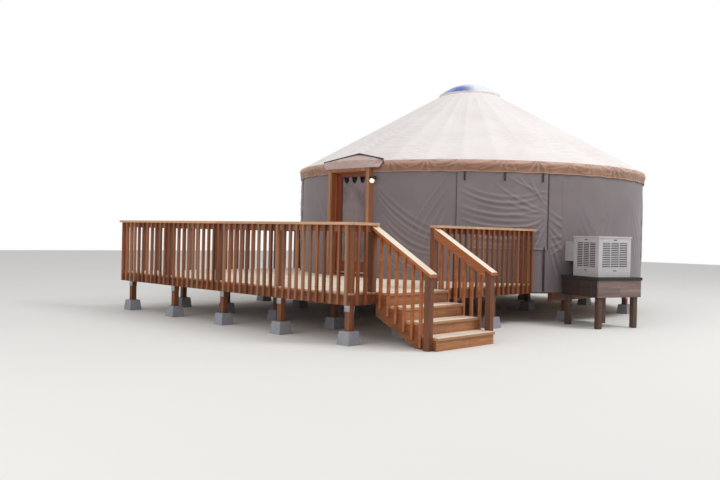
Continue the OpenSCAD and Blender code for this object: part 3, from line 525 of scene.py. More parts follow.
def add(name: str, operator: Callable[..., Any], **settings: Any) -> Piece:
    """Adds a mesh by an operator and names it.

    Args:
        name: Name of the piece.
        operator: An operator of bpy.ops that adds a mesh.
        settings: The operator's settings.

    Returns:
        The piece.
    """
    activate()
    operator(**settings)
    bpy.context.object.name = name
    return bpy.context.object


def modifier(piece: Piece, kind: str, **settings: Any) -> None:
    """Adds a modifier with its settings."""
    made = piece.modifiers.new(kind.title(), kind)
    for key, value in settings.items():
        setattr(made, key, value)


def settle(piece: Piece, bevel: float = 0.0, sharp: float = 35.0) -> Piece:
    """Eases a piece's edges, applies its modifiers, and sets its object at the origin.

    Args:
        piece: The piece.
        bevel: Width of the eased edges, 0 for none.
        sharp: Edges sharper than this, in degrees, are shaded sharp.

    Returns:
        The same piece.
    """
    if bevel:
        modifier(piece, "BEVEL", width=bevel, segments=2, limit_method="ANGLE")
    activate(piece)
    for step in list(piece.modifiers):
        bpy.ops.object.modifier_apply(modifier=step.name)
    bpy.ops.object.transform_apply(location=True, rotation=True, scale=True)
    bpy.ops.object.shade_smooth_by_angle(angle=math.radians(sharp))
    return piece


def board(name: str, low: Place, high: Place, bevel: float) -> Piece:
    """A board or plate between two corners, with eased edges.

    Args:
        name: Name of the piece.
        low: Lowest corner.
        high: Highest corner.
        bevel: Width of the eased edge, 0 for none.

    Returns:
        The piece, settled.
    """
    low, high = Vector(low), Vector(high)
    piece = add(name, bpy.ops.mesh.primitive_cube_add, size=1, location=(low + high) / 2)
    piece.dimensions = high - low
    bpy.ops.object.transform_apply(location=False, rotation=False, scale=True)
    return settle(piece, bevel)


def rod(name: str, start: Place, end: Place, radius: float, sides: int,
        bevel: float = 0.0) -> Piece:
    """A round bar from one point to another.

    Args:
        name: Name of the piece.
        start: Middle of one end.
        end: Middle of the other end.
        radius: Radius of the bar.
        sides: Number of sides.
        bevel: Width of the eased rims.

    Returns:
        The piece, settled.
    """
    start, end = Vector(start), Vector(end)
    along = end - start
    return settle(add(name, bpy.ops.mesh.primitive_cylinder_add, vertices=sides, radius=radius,
                      depth=along.length, location=(start + end) / 2,
                      rotation=along.to_track_quat("Z", "Y").to_euler()), bevel)


def join(name: str, parts: Sequence[Piece]) -> Piece:
    """Joins pieces into one mesh.

    Args:
        name: Name of the whole.
        parts: The pieces.

    Returns:
        The whole.
    """
    activate(*parts)
    if len(parts) > 1:
        bpy.ops.object.join()
    parts[0].name = name
    return parts[0]


def boards(name: str, boxes: Iterable[Box], bevel: float) -> Piece:
    """One piece of several boards, each between two corners."""
    return join(name, [board(name, low, high, bevel) for low, high in boxes])


def copy_of(piece: Piece, move: Matrix) -> Piece:
    """A copy with a mesh of its own, moved by a matrix.

    Args:
        piece: The piece to copy.
        move: Where the copy goes.

    Returns:
        The copy.
    """
    twin = piece.copy()
    twin.data = piece.data.copy()
    bpy.context.collection.objects.link(twin)
    twin.data.transform(move)
    return twin


def turned(angle: float) -> Matrix:
    """A turn round an upright axis at the origin, in degrees."""
    return Matrix.Rotation(math.radians(angle), 4, "Z")


def points_of(node: str, angle: float = 0.0) -> Array:
    """A CAD node's corners, seen in a frame that is turned round the yurt.

    Args:
        node: Name of the node.
        angle: Turn of the frame in degrees from the door.

    Returns:
        One row of three numbers for each corner.
    """
    mesh = NODES[node].data
    points = np.empty(len(mesh.vertices) * 3)
    mesh.vertices.foreach_get("co", points)
    turn = math.radians(angle)
    x, y, z = points.reshape(-1, 3).T
    return np.stack((x * math.cos(turn) + y * math.sin(turn),
                     y * math.cos(turn) - x * math.sin(turn), z), axis=1)


def box_of(*nodes: str, angle: float = 0.0) -> tuple[Vector, Vector]:
    """Lowest and highest corner of CAD nodes, in a frame turned round the yurt."""
    points = np.concatenate([points_of(node, angle) for node in nodes])
    return Vector(points.min(axis=0)), Vector(points.max(axis=0))


def angles_of(node: str) -> tuple[float, float]:
    """First and last angle from the door that a node covers, in degrees.

    Args:
        node: Name of the node.

    Returns:
        The two angles.
    """
    x, y, _ = points_of(node).T
    middle = math.degrees(math.atan2(x.mean(), -y.mean()))
    spread = (np.degrees(np.arctan2(x, -y)) - middle + 180) % 360 - 180
    return middle + spread.min(), middle + spread.max()


def half_angle(node: str, radius: float) -> float:
    """Half of the angle that a node covers opposite the door, on a round of that radius."""
    points = points_of(node, 180.0)
    return math.degrees(math.asin(points[points[:, 1] < -0.8 * radius][:, 0].max() / radius))


def slabs_of(node: str) -> list[tuple[Vector, Vector]]:
    """Boxes of the level boards in a node, one for each height that tops a board.

    Args:
        node: Name of a node whose solids are level boards of the same thickness.

    Returns:
        Lowest and highest corner of each board, from the lowest board up.
    """
    points = points_of(node)
    levels = sorted({round(float(z), 3) for z in points[:, 2]})
    slabs = []
    for foot, top in zip(levels[::2], levels[1::2]):
        corners = points[np.abs(points[:, 2] - top) < 0.001][:, :2]
        slabs.append((Vector((*corners.min(axis=0), foot)), Vector((*corners.max(axis=0), top))))
    return slabs


def rows_of(node: str, width: float) -> tuple[Array, float]:
    """Places of planks of about that width which fill a node along Y.

    Args:
        node: Name of the node.
        width: Largest distance from one plank to the next.

    Returns:
        Where each plank starts, and the distance between them.
    """
    low, high = box_of(node)
    count = math.ceil((high.y - low.y) / width)
    pitch = (high.y - low.y) / count
    return low.y + np.arange(count) * pitch, pitch


def cut_round(piece: Piece, node: str, radius: float, operation: str, sides: int) -> Piece:
    """Cuts a floor along a circle round the yurt's axis.

    Args:
        piece: The floor's planks.
        node: CAD node of the floor.
        radius: Radius of the circle.
        operation: INTERSECT to keep what is inside, DIFFERENCE for what is outside.
        sides: Number of sides of the circle.

    Returns:
        The same piece.
    """
    low, high = box_of(node)
    tool = add("round_tool", bpy.ops.mesh.primitive_cylinder_add, vertices=sides, radius=radius,
               depth=1, location=(0, 0, (low.z + high.z) / 2))
    modifier(piece, "BOOLEAN", operation=operation, object=tool, solver="EXACT")
    settle(piece)
    bpy.data.objects.remove(tool)
    return piece


def bars_round(half: float, width: float, y: tuple[float, float],
               z: tuple[float, float]) -> list[Box]:
    """Boxes of the bars inside the edge of an upright opening.

    Args:
        half: Half of the opening's width.
        width: Width of the bars.
        y: Front and back of the bars.
        z: Foot and head of the opening.

    Returns:
        Two sides, the head and the foot.
    """
    inner = half - width + 0.0005
    sides = [((x, y[0], z[0]), (x + width, y[1], z[1])) for x in (-half, half - width)]
    return sides + [((-inner, y[0], foot), (inner, y[1], foot + width))
                    for foot in (z[1] - width, z[0])]


def report(piece: Piece, *nodes: str, body: str = YURT, slot: str = "") -> None:
    """Makes a piece ride on its body and stand for nodes, and logs it.

    Args:
        piece: The piece.
        nodes: CAD nodes that it stands for.
        body: The CAD body that it moves with.
        slot: Not used.
    """
    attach(piece, body)
    if nodes:
        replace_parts(piece, *nodes)
    log.info("%s: %d faces on %s", piece.name, len(piece.data.polygons), body)


def dress_nodes(**finishes: Finish) -> None:
    """Dresses CAD nodes, each in its own finish."""
    for node, finish in finishes.items():
        finish.dress(NODES[node])


def lengths_of(line: Array) -> Array:
    """Length along a line of points, up to each point."""
    return np.concatenate(([0.0], np.cumsum(np.linalg.norm(np.diff(line, axis=0), axis=1))))


def ramp(value: Array, low: float, high: float, least: float = 0.0, most: float = 1.0) -> Array:
    """Share of the way from low to high, kept between two limits."""
    return np.clip((value - low) / (high - low), least, most)


def on_round(radius: Array, angle: Array, height: Array) -> Array:
    """Points from radii, angles from the door in degrees, and heights."""
    turn = np.radians(angle)
    return np.stack((radius * np.sin(turn), -radius * np.cos(turn), height), axis=1)


def columns(first: float, last: float, step: float, *kept: float) -> Array:
    """Evenly spaced places from first to last, with lines kept at given places.

    Args:
        first: First place.
        last: Last place.
        step: Largest distance between two places.
        kept: Places that get a line of their own.

    Returns:
        The places in order.
    """
    stops = [first, *sorted(k for k in kept if first < k < last), last]
    runs = [np.linspace(a, b, max(2, math.ceil((b - a) / step) + 1))[:-1]
            for a, b in zip(stops, stops[1:])]
    return np.concatenate([*runs, [last]])


def fold_share(net: Array, reach: float = 0.035, full: float = 0.006) -> Array:
    """Tells how far each point of a sheet stands out of its surroundings.

    Args:
        net: The sheet's points, by row and column.
        reach: Distance of the surroundings in metres.
        full: Height of a full fold in metres.

    Returns:
        -1 in a hollow to 1 on a ridge, for each point.
    """
    rows, cols = net.shape[:2]
    gaps = (float(np.linalg.norm(np.diff(net, axis=axis), axis=2).mean()) for axis in (0, 1))
    up, side = (min(size - 1, max(1, round(reach / gap))) for size, gap in zip((rows, cols), gaps))
    wide = np.pad(net, ((up, up), (side, side), (0, 0)), mode="reflect", reflect_type="odd")
    around = sum(wide[r:r + rows, c:c + cols] for r, c in
                 ((0, side), (2 * up, side), (up, 0), (up, 2 * side))) / 4
    normal = np.cross(np.gradient(net, axis=1), np.gradient(net, axis=0))
    normal /= np.maximum(np.linalg.norm(normal, axis=2, keepdims=True), 1e-9)
    return np.clip(((net - around) * normal).sum(axis=2) / full, -1.0, 1.0)


def cut_faces(piece: Piece, loose: Array) -> None:
    """Deletes the marked faces of a sheet.

    Args:
        piece: The sheet.
        loose: True for each face that goes.
    """
    mesh, tools = piece.data, bpy.context.tool_settings
    activate(piece)
    for group in (mesh.vertices, mesh.edges):
        group.foreach_set("select", np.zeros(len(group), dtype=bool))
    mesh.polygons.foreach_set("select", loose)
    tools.mesh_select_mode = (False, False, True)
    bpy.ops.object.mode_set(mode="EDIT")
    bpy.ops.mesh.delete(type="FACE")
    bpy.ops.object.mode_set(mode="OBJECT")
    tools.mesh_select_mode = (True, False, False)


def cloth(name: str, across: Array, upward: Array, shape: Shape, thickness: float,
          open_at: Callable[[float, float], bool] | None = None) -> Piece:
    """A sheet of cloth: a grid whose points are moved to their hung places.

    Args:
        name: Name of the piece.
        across: Places of the grid's columns, in the cloth's own units.
        upward: Places of the grid's rows.
        shape: Turns the places of columns and rows into points in metres.
        thickness: Thickness of the cloth, laid on the inner side.
        open_at: Tells whether a face is cut out, from the place of its middle.

    Returns:
        The sheet, with a map in metres and its flat size kept on it.
    """
    piece = add(name, bpy.ops.mesh.primitive_grid_add, x_subdivisions=len(across) - 1,
                y_subdivisions=len(upward) - 1, size=2, calc_uvs=True)
    mesh = piece.data
    flat = np.empty(len(mesh.vertices) * 3)
    mesh.vertices.foreach_get("co", flat)
    column, row = (np.rint((flat[axis::3] + 1) / 2 * (len(places) - 1)).astype(int)
                   for axis, places in enumerate((across, upward)))
    u, v = across[column], upward[row]
    points = shape(u, v)
    mesh.vertices.foreach_set("co", points.ravel())
    net = np.empty((len(upward), len(across), 3))
    net[row, column] = points
    stands = mesh.attributes.new("fold", "FLOAT", "POINT")
    stands.data.foreach_set("value", fold_share(net)[row, column])
    rims = [lengths_of(shape(across, np.full(len(across), v_rim))) for v_rim in upward[[0, -1]]]
    wide = max(rims, key=lambda rim: rim[-1])
    tall = lengths_of(shape(np.full(len(upward), across[len(across) // 2]), upward))
    corner = np.empty(len(mesh.loops), dtype=int)
    mesh.loops.foreach_get("vertex_index", corner)
    uv = np.stack((wide[column], tall[row]), axis=1)[corner]
    mesh.uv_layers.active.data.foreach_set("uv", uv.ravel())
    if open_at:
        faces = [list(face.vertices) for face in mesh.polygons]
        loose = np.array([open_at(float(u[f].mean()), float(v[f].mean())) for f in faces])
        if loose.any():
            cut_faces(piece, loose)
    piece["flat_area"] = sum(face.area for face in mesh.polygons)
    piece["flat"] = [float(wide.max()), float(tall.max())]
    modifier(piece, "SOLIDIFY", thickness=thickness, offset=-1.0)
    return settle(piece, sharp=60.0)


def hang(sheet: Piece, finish: Finish, node: str,
         body: str = YURT) -> None:
    """Args:
        sheet: The sheet.
        finish: Its finish.
        node: CAD node that it stands for.
        body: The CAD body that it moves with.
    """
    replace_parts(finish.dress(sheet), node)
    width, length = sheet["flat"]
    area = min(sheet["flat_area"], width * length)
    report(sheet, body=body)


@dataclass(frozen=True)
class Wave:
    """A sine over a sheet: its rates in two directions, its phase, its size, and a bend."""

    along: float
    up: float = 0.0
    phase: float = 0.0
    size: float = 1.0
    bend: tuple[float, float] = (0.0, 0.0)

    def at(self, s: Array, z: Array | float = 0.0) -> Array:
        """The wave's height at places along the sheet and up it."""
        bend = self.bend[0] * np.sin(s * self.bend[1])
        return self.size * np.sin(s * self.along + z * self.up + self.phase + bend)


@dataclass(frozen=True)
class Crease:
    """A soft fold in hanging cloth, from one place to another, with a sag between them."""

    start: tuple[float, float]
    end: tuple[float, float]
    sag: float
    rise: float
    width: float
    spacing: float = 0.01

    def lift(self, s: Array, z: Array) -> Array:
        """Gives the fold's rise.

        Args:
            s: Places along the wall in metres.
            z: Heights in metres.

        Returns:
            The rise in metres at each place.
        """
        span = math.dist(self.start, self.end) + 2 * abs(self.sag)
        t = np.linspace(0.0, 1.0, math.ceil(span / self.spacing) + 1)
        line_s = self.start[0] + t * (self.end[0] - self.start[0])
        line_z = self.start[1] + t * (self.end[1] - self.start[1]) - 4 * self.sag * t * (1 - t)
        away = (s[:, None] - line_s) ** 2 + (z[:, None] - line_z) ** 2
        reach = np.sin(np.pi * (0.04 + 0.92 * t[away.argmin(axis=1)])) ** 0.7
        return self.rise * reach * np.exp(-away.min(axis=1) / self.width ** 2)


@dataclass(frozen=True)
class Fan:
    """A row of creases whose ends step evenly, in degrees round the wall and metres up.

    Sags, rises and shifts in degrees of both ends are taken in turn.
    """

    count: int
    start: tuple[float, float]
    start_step: tuple[float, float]
    end: tuple[float, float]
    end_step: tuple[float, float]
    sags: tuple[float, ...]
    rises: tuple[float, ...]
    width: float
    shifts: tuple[tuple[float, ...], tuple[float, ...]] = ((0.0,), (0.0,))

    def creases(self, radius: float, middle: float = 0.0) -> list[Crease]:
        """Gives the fan's creases.

        Args:
            radius: Radius of the wall.
            middle: Angle that the fan's angles are counted from.

        Returns:
            The creases.
        """
        ends = [[(math.radians(middle + place[0] + step[0] * i + turns[i % len(turns)]) * radius,
                  place[1] + step[1] * i) for i in range(self.count)]
                for place, step, turns in ((self.start, self.start_step, self.shifts[0]),
                                           (self.end, self.end_step, self.shifts[1]))]
        return [Crease(a, b, self.sags[i % len(self.sags)], self.rises[i % len(self.rises)],
                       self.width) for i, (a, b) in enumerate(zip(*ends))]


def lift_of(folds: Sequence[Crease], s: Array, z: Array) -> Array:
    """Rise of all creases together, at places along the wall and up it."""
    return sum((fold.lift(s, z) for fold in folds), np.zeros(len(s)))


@dataclass
class WallCover:
    """The round wall: fabric panels with creases, window openings and a hem."""

    step: float = 0.03
    fine_step: float = 0.017
    cloth_t: float = 0.004
    hem_h: float = 0.05
    lap_w: float = 0.03
    edge_t: float = 0.002
    inset: float = 0.001
    slack: float = 0.003
    slack_waves: tuple[Wave, Wave] = (Wave(7.1, 1.3), Wave(-0.8, 5.3))
    flutter: float = 0.006
    flutter_waves: tuple[Wave, Wave] = (Wave(9.0), Wave(3.7, phase=1.0))
    calm_h: float = 0.35
    firm_h: float = 0.25
    firm_least: float = 0.3
    out_most: float = 0.024
    window_angles: tuple[float, ...] = (46.7, 180.0, 313.3)
    seed: int = 7
    panels: tuple[str, ...] = tuple(f"wall_{side}" for side in (
        "front_right", "right", "back_right", "back", "back_left", "left", "front_left",
        "over_door"))
    front_fans: tuple[Fan, ...] = (
        Fan(12, (9.8, 2.42), (0.5, -0.135), (31.5, 1.56), (-0.9, -0.075), (0.11, 0.13, 0.15),
            (0.011, 0.018, 0.018), 0.027),
        Fan(4, (31.0, 2.56), (0.0, -0.22), (20.0, 1.5), (2.0, -0.1), (-0.06,), (0.009,), 0.028),
        Fan(6, (60.1, 1.98), (0.0, -0.12), (73.0, 1.66), (-1.8, -0.2), (0.04, 0.02), (0.018,),
            0.026),
        Fan(3, (60.1, 1.5), (0.0, -0.15), (68.0, 1.66), (-1.0, -0.1), (0.02,), (0.013,), 0.024))

    def __post_init__(self) -> None:
        """Reads the wall's sizes from the frame."""
        low, high = box_of(*self.panels)
        self.radius, self.bottom = high.x, low.z
        self.deck_z = box_of("deck_boards")[1].z
        self.window_z = [corner.z for corner in box_of("window_panes", angle=180.0)]
        self.window_half = half_angle("window_panes", self.radius)

    def loose_creases(self, first: float, last: float, seed: int) -> list[Crease]:
        """Creases of a plain stretch, fanned out from points along its upper edge.

        Args:
            first: First angle of the stretch.
            last: Last angle.
            seed: Seed of the chance.

        Returns:
            The creases.
        """
        chance = np.random.default_rng(seed)
        folds = []
        for middle in np.arange(first + 6, last - 4, 13.0):
            lean = chance.choice((-1.0, 1.0))
            top = 2.5 - chance.uniform(0.0, 0.3)
            rises = tuple(chance.uniform(0.006, 0.014) for _ in range(4))
            fan = Fan(4, (0.0, top), (0.0, -0.22), (9 * lean, top - 0.75), (-lean, -0.28),
                      (0.07,), rises, 0.03)
            folds += fan.creases(self.radius, middle)
        return folds

    def shape(self, folds: list[Crease], first: float, upper: float) -> Shape:
        """Gives the hung shape of a panel.

        Args:
            folds: The panel's creases.
            first: Angle of the edge that laps over its neighbour.
            upper: Height of the panel's top.

        Returns:
            A function of angles and heights.
        """
        def place(angle: Array, z: Array) -> Array:
            """Points of the panel."""
            s = np.radians(angle) * self.radius
            long, short = (wave.at(s, z) for wave in self.slack_waves)
            firm = ramp(z, self.deck_z, self.deck_z + self.firm_h, self.firm_least)
            out = lift_of(folds, s, z) * firm + self.slack * (1 + long * short)
            out = out * ramp(z, upper, upper - self.calm_h)
            low = ramp(z, self.bottom + self.calm_h, self.bottom) ** 2
            quick, slow = (wave.at(s) for wave in self.flutter_waves)
            flutter = self.flutter * low * (1 + quick * slow)
            lap = np.abs(s - math.radians(first) * self.radius) < self.lap_w
            hem = z < self.bottom + self.hem_h
            reach = np.clip(out, 0.0, self.out_most) + flutter + self.edge_t * (lap + 1.0 * hem)
            return on_round(self.radius - self.inset + reach, angle, z)
        return place

    def open_at(self, angle: float, z: float) -> bool:
        """Tells whether a place on the wall lies in a window opening."""
        return self.window_z[0] < z < self.window_z[1] and any(
            abs(angle - window) < self.window_half for window in self.window_angles)

    def build(self) -> None:
        """Builds one sheet for each wall panel."""
        edges = [w + side * self.window_half for w in self.window_angles for side in (-1, 1)]
        for number, node in enumerate(self.panels):
            first, last = angles_of(node)
            low, high = box_of(node)
            step = self.step if number else self.fine_step
            if node == "wall_over_door":
                folds = []
            else:
                first, last = first % 360, first % 360 + last - first
                folds = self.loose_creases(first, last, self.seed + number)
            if not number:
                folds = [fold for fan in self.front_fans for fold in fan.creases(self.radius)]
            across = columns(first, last, math.degrees(step / self.radius), *edges)
            upward = columns(low.z, high.z, step, low.z + self.hem_h, *self.window_z)
            sheet = cloth(f"cover_{node}", across, upward, self.shape(folds, first, high.z),
                          self.cloth_t, self.open_at)
            hang(sheet, WALL_CLOTH, node)
        dress_nodes(window_panes=CLEAR_PANE)


@dataclass
class WindowFlaps:
    """Flaps over the windows, with their dark edge strips and webbing straps."""

    wall: WallCover
    cloth_t: float = 0.003
    stand_off: float = 0.007
    steps: tuple[float, ...] = (0.013, 0.026, 0.026)
    strip_step: float = 0.02
    strap_w: float = 0.032
    strap_t: float = 0.003
    strap_foot: float = 0.155
    strap_over: float = 0.004
    strap_off: float = 0.026
    strap_shifts: tuple[float, ...] = (-10.85, 0.1, 11.0)
    strap_fold: float = 0.03
    ease: float = 0.001
    tie_shift: float = 11.8
    tie_ends: tuple[float, float] = (0.02, 0.04)
    tie_off: float = 0.020
    edge_widths: tuple[float, float] = (0.010, 0.022)
    edge_h: float = 0.12
    foot_out: float = 0.012
    out_most: float = 0.03
    wave: Wave = Wave(11.0, 4.0, size=0.002)

    def __post_init__(self) -> None:
        """Reads the flaps' sizes from the frame."""
        self.z = [corner.z for corner in box_of("window_flaps")]
        self.half = half = half_angle("window_flaps", self.wall.radius + 0.006)
        self.valance_foot = box_of("valance")[0].z
        sags = tuple(0.17 - 0.013 * i for i in range(9))
        self.fans = (
            Fan(9, (0.5 - half, 2.44), (0.0, -0.125), (half - 1.0, 2.34), (0.0, -0.115), sags,
                (0.011, 0.017), 0.028, ((0.0, 0.5, 1.0), (0.0, -1.6))),
            Fan(6, (-2.0, 2.42), (1.9, -0.25), (half - 0.4, 1.95), (0.0, -0.02), (0.04,),
                (0.012,), 0.026),
            Fan(3, (0.5, 2.6), (3.2, 0.0), (half - 0.4, 2.3), (0.0, -0.12), (0.05,), (0.009,),
                0.022))

    def shape(self, middle: float, off: float = 0.0) -> Shape:
        """Gives the hung shape of a flap.

        Args:
            middle: Angle of its middle.
            off: Distance outside the flap.

        Returns:
            A function of angles and heights.
        """
        folds = [fold for fan in self.fans for fold in fan.creases(self.wall.radius, middle)]

        def place(angle: Array, z: Array) -> Array:
            """Points of the flap."""
            s = np.radians(angle) * self.wall.radius
            head = self.valance_foot + 0.02
            out = np.clip(lift_of(folds, s, z), 0, self.out_most)
            out = out + self.wave.size + self.wave.at(s, z)
            out = out * ramp(z, head, head - self.edge_h)
            foot = self.foot_out * ramp(z, self.z[0] + self.edge_h, self.z[0]) ** 2
            return on_round(self.wall.radius + self.stand_off + off + out + foot, angle, z)
        return place

    def strip(self, name: str, middle: float, side: int) -> Piece:
        """The dark strip along one upright edge of a flap.

        Args:
            name: Name of the strip.
            middle: Angle of the flap's middle.
            side: -1 for the left edge, 1 for the right edge.

        Returns:
            The strip.
        """
        edge = middle + side * self.half
        inner = edge - side * math.degrees(self.edge_widths[(side + 1) // 2] / self.wall.radius)
        return DARK_TRIM.dress(cloth(name, np.linspace(*sorted((edge, inner)), 3),
                                     columns(*self.z, self.strip_step),
                                     self.shape(middle, self.cloth_t), self.cloth_t))

    def strap(self, name: str, angle: float, low: float, high: float, off: float) -> None:
        """A webbing strap with a folded end, laid on the wall.

        Args:
            name: Name of the strap.
            angle: Its angle from the door.
            low: Height of its lower end.
            high: Height of its upper end.
            off: Distance from the wall.
        """
        y, half, thick = -self.wall.radius - off, self.strap_w / 2, self.strap_t
        piece = boards(name, (((-half, y - thick, low), (half, y, high)),
                              ((-half, y - 2.4 * thick, low - self.ease),
                               (half, y - thick, low + self.strap_fold))), self.ease)
        piece.data.transform(turned(angle))
        report(WEBBING.dress(piece))

    def build(self) -> None:
        """Builds the flaps, their strips and their straps."""
        foot = self.valance_foot
        for side, middle, step in zip(("right", "back", "left"), self.wall.window_angles,
                                      self.steps):
            across = columns(middle - self.half, middle + self.half,
                             math.degrees(step / self.wall.radius))
            flap = cloth(f"window_flap_{side}", across, columns(*self.z, step),
                         self.shape(middle), self.cloth_t)
            hang(flap, FLAP_CLOTH, "window_flaps")
            for hand, edge in (("left", -1), ("right", 1)):
                report(self.strip(f"flap_strip_{side}_{hand}", middle, edge))
            for number, shift in enumerate(self.strap_shifts):
                self.strap(f"flap_strap_{side}_{number}", middle + shift,
                           foot - self.strap_foot, foot + self.strap_over, self.strap_off)
            self.strap(f"flap_tie_{side}", middle + self.tie_shift,
                       self.wall.bottom + self.tie_ends[0], self.z[0] + self.tie_ends[1],
                       self.tie_off)


@dataclass
class RoofCover:
    """The cone roof: gores that sag between the rafters and turn down at the eave."""

    step: float = 0.042
    row_step: float = 0.03
    cloth_t: float = 0.004
    sag: float = 0.020
    ripple: float = 0.007
    ripple_waves: tuple[Wave, Wave] = (Wave(43.0, 1.0), Wave(24.0, -0.7, size=0.7))
    shift_waves: tuple[Wave, Wave] = (Wave(9.0, size=5.0), Wave(23.0, phase=1.0, size=2.0))
    fade: Wave = Wave(5.0, 1.7, size=0.35)
    calm_shares: tuple[float, float] = (0.03, 0.12)
    seam_w: float = 0.045
    seam_t: float = 0.003
    roll_r: float = 0.02
    roll_from: float = 0.02
    rafters: int = 36
    gores: tuple[str, ...] = tuple(f"roof_gore_{i}" for i in range(1, 7))

    def __post_init__(self) -> None:
        """Reads the cone's sizes from the frame."""
        points = points_of(self.gores[0])
        reach = np.hypot(points[:, 0], points[:, 1])
        self.eave_r, self.ring_r = reach.max(), reach.min()
        self.eave_z = points[reach > self.eave_r - 0.001][:, 2].max()
        self.ring_z = points[:, 2].max()
        self.pitch = math.atan2(self.ring_z - self.eave_z, self.eave_r - self.ring_r)
        self.cos, self.sin = math.cos(self.pitch), math.sin(self.pitch)
        self.length = (self.eave_r - self.ring_r) / self.cos
        self.edge = self.roll_from - self.roll_r * (math.pi / 2 - self.pitch)

    def profile(self, q: Array) -> tuple[Array, Array]:
        """Radius and height at a distance up the slope; below roll_from it turns down.

        Args:
            q: Distances up the slope from the eave, negative on the turned-down edge.

        Returns:
            Radii and heights.
        """
        turn = (self.roll_from - q) / self.roll_r
        down = self.pitch + np.clip(turn, 0.0, math.pi / 2 - self.pitch)
        r = self.eave_r + self.roll_r * (np.sin(down) - self.sin) - self.roll_from * self.cos
        z = self.eave_z - self.roll_r * (self.cos - np.cos(down)) + self.roll_from * self.sin
        up = np.clip(q - self.roll_from, 0.0, None)
        return r - up * self.cos, z + up * self.sin

    def shape(self, first: float, last: float) -> Shape:
        """Gives the shape of the gore between two angles.

        Args:
            first: First angle.
            last: Last angle.

        Returns:
            A function of angles and distances up the slope.
        """
        def place(angle: Array, q: Array) -> Array:
            """Points of the gore."""
            r, z = self.profile(q)
            share = np.clip(q / self.length, 0.0, 1.0)
            turn = np.radians(angle)
            bay = np.abs(np.cos(turn * self.rafters / 2)) ** 0.8
            shift = sum(wave.at(turn) for wave in self.shift_waves)
            wave = sum(wave.at(q, shift) for wave in self.ripple_waves)
            low = np.clip(1.25 - 1.3 * share, 0.2, 1.0) * (1 - self.fade.size + self.fade.at(turn, q))
            narrow = np.clip(r / self.eave_r + 0.25, 0.0, 1.0)
            sink = (self.sag * narrow - self.ripple * wave * low) * bay
            eave, ring = self.calm_shares
            calm = ramp(share, 0.0, eave) * ramp(share, 1.0, 1.0 - ring)
            edge = np.minimum(turn - math.radians(first), math.radians(last) - turn) * r
            out = self.seam_t * (edge < self.seam_w / 2) - sink * calm
            return on_round(r + out * self.sin, angle, z + out * self.cos)
        return place

    def build(self) -> None:
        """Builds one sheet for each gore."""
        lap = math.degrees(self.seam_w / 2 / self.eave_r)
        upward = columns(self.edge, self.length, self.row_step, 0.0, 0.01, self.roll_from)
        for node in self.gores:
            first, last = angles_of(node)
            across = columns(first, last, math.degrees(self.step / self.eave_r),
                             first + lap, last - lap)
            sheet = cloth(f"cover_{node}", across, upward, self.shape(first, last), self.cloth_t)
            hang(sheet, ROOF_CLOTH, node)


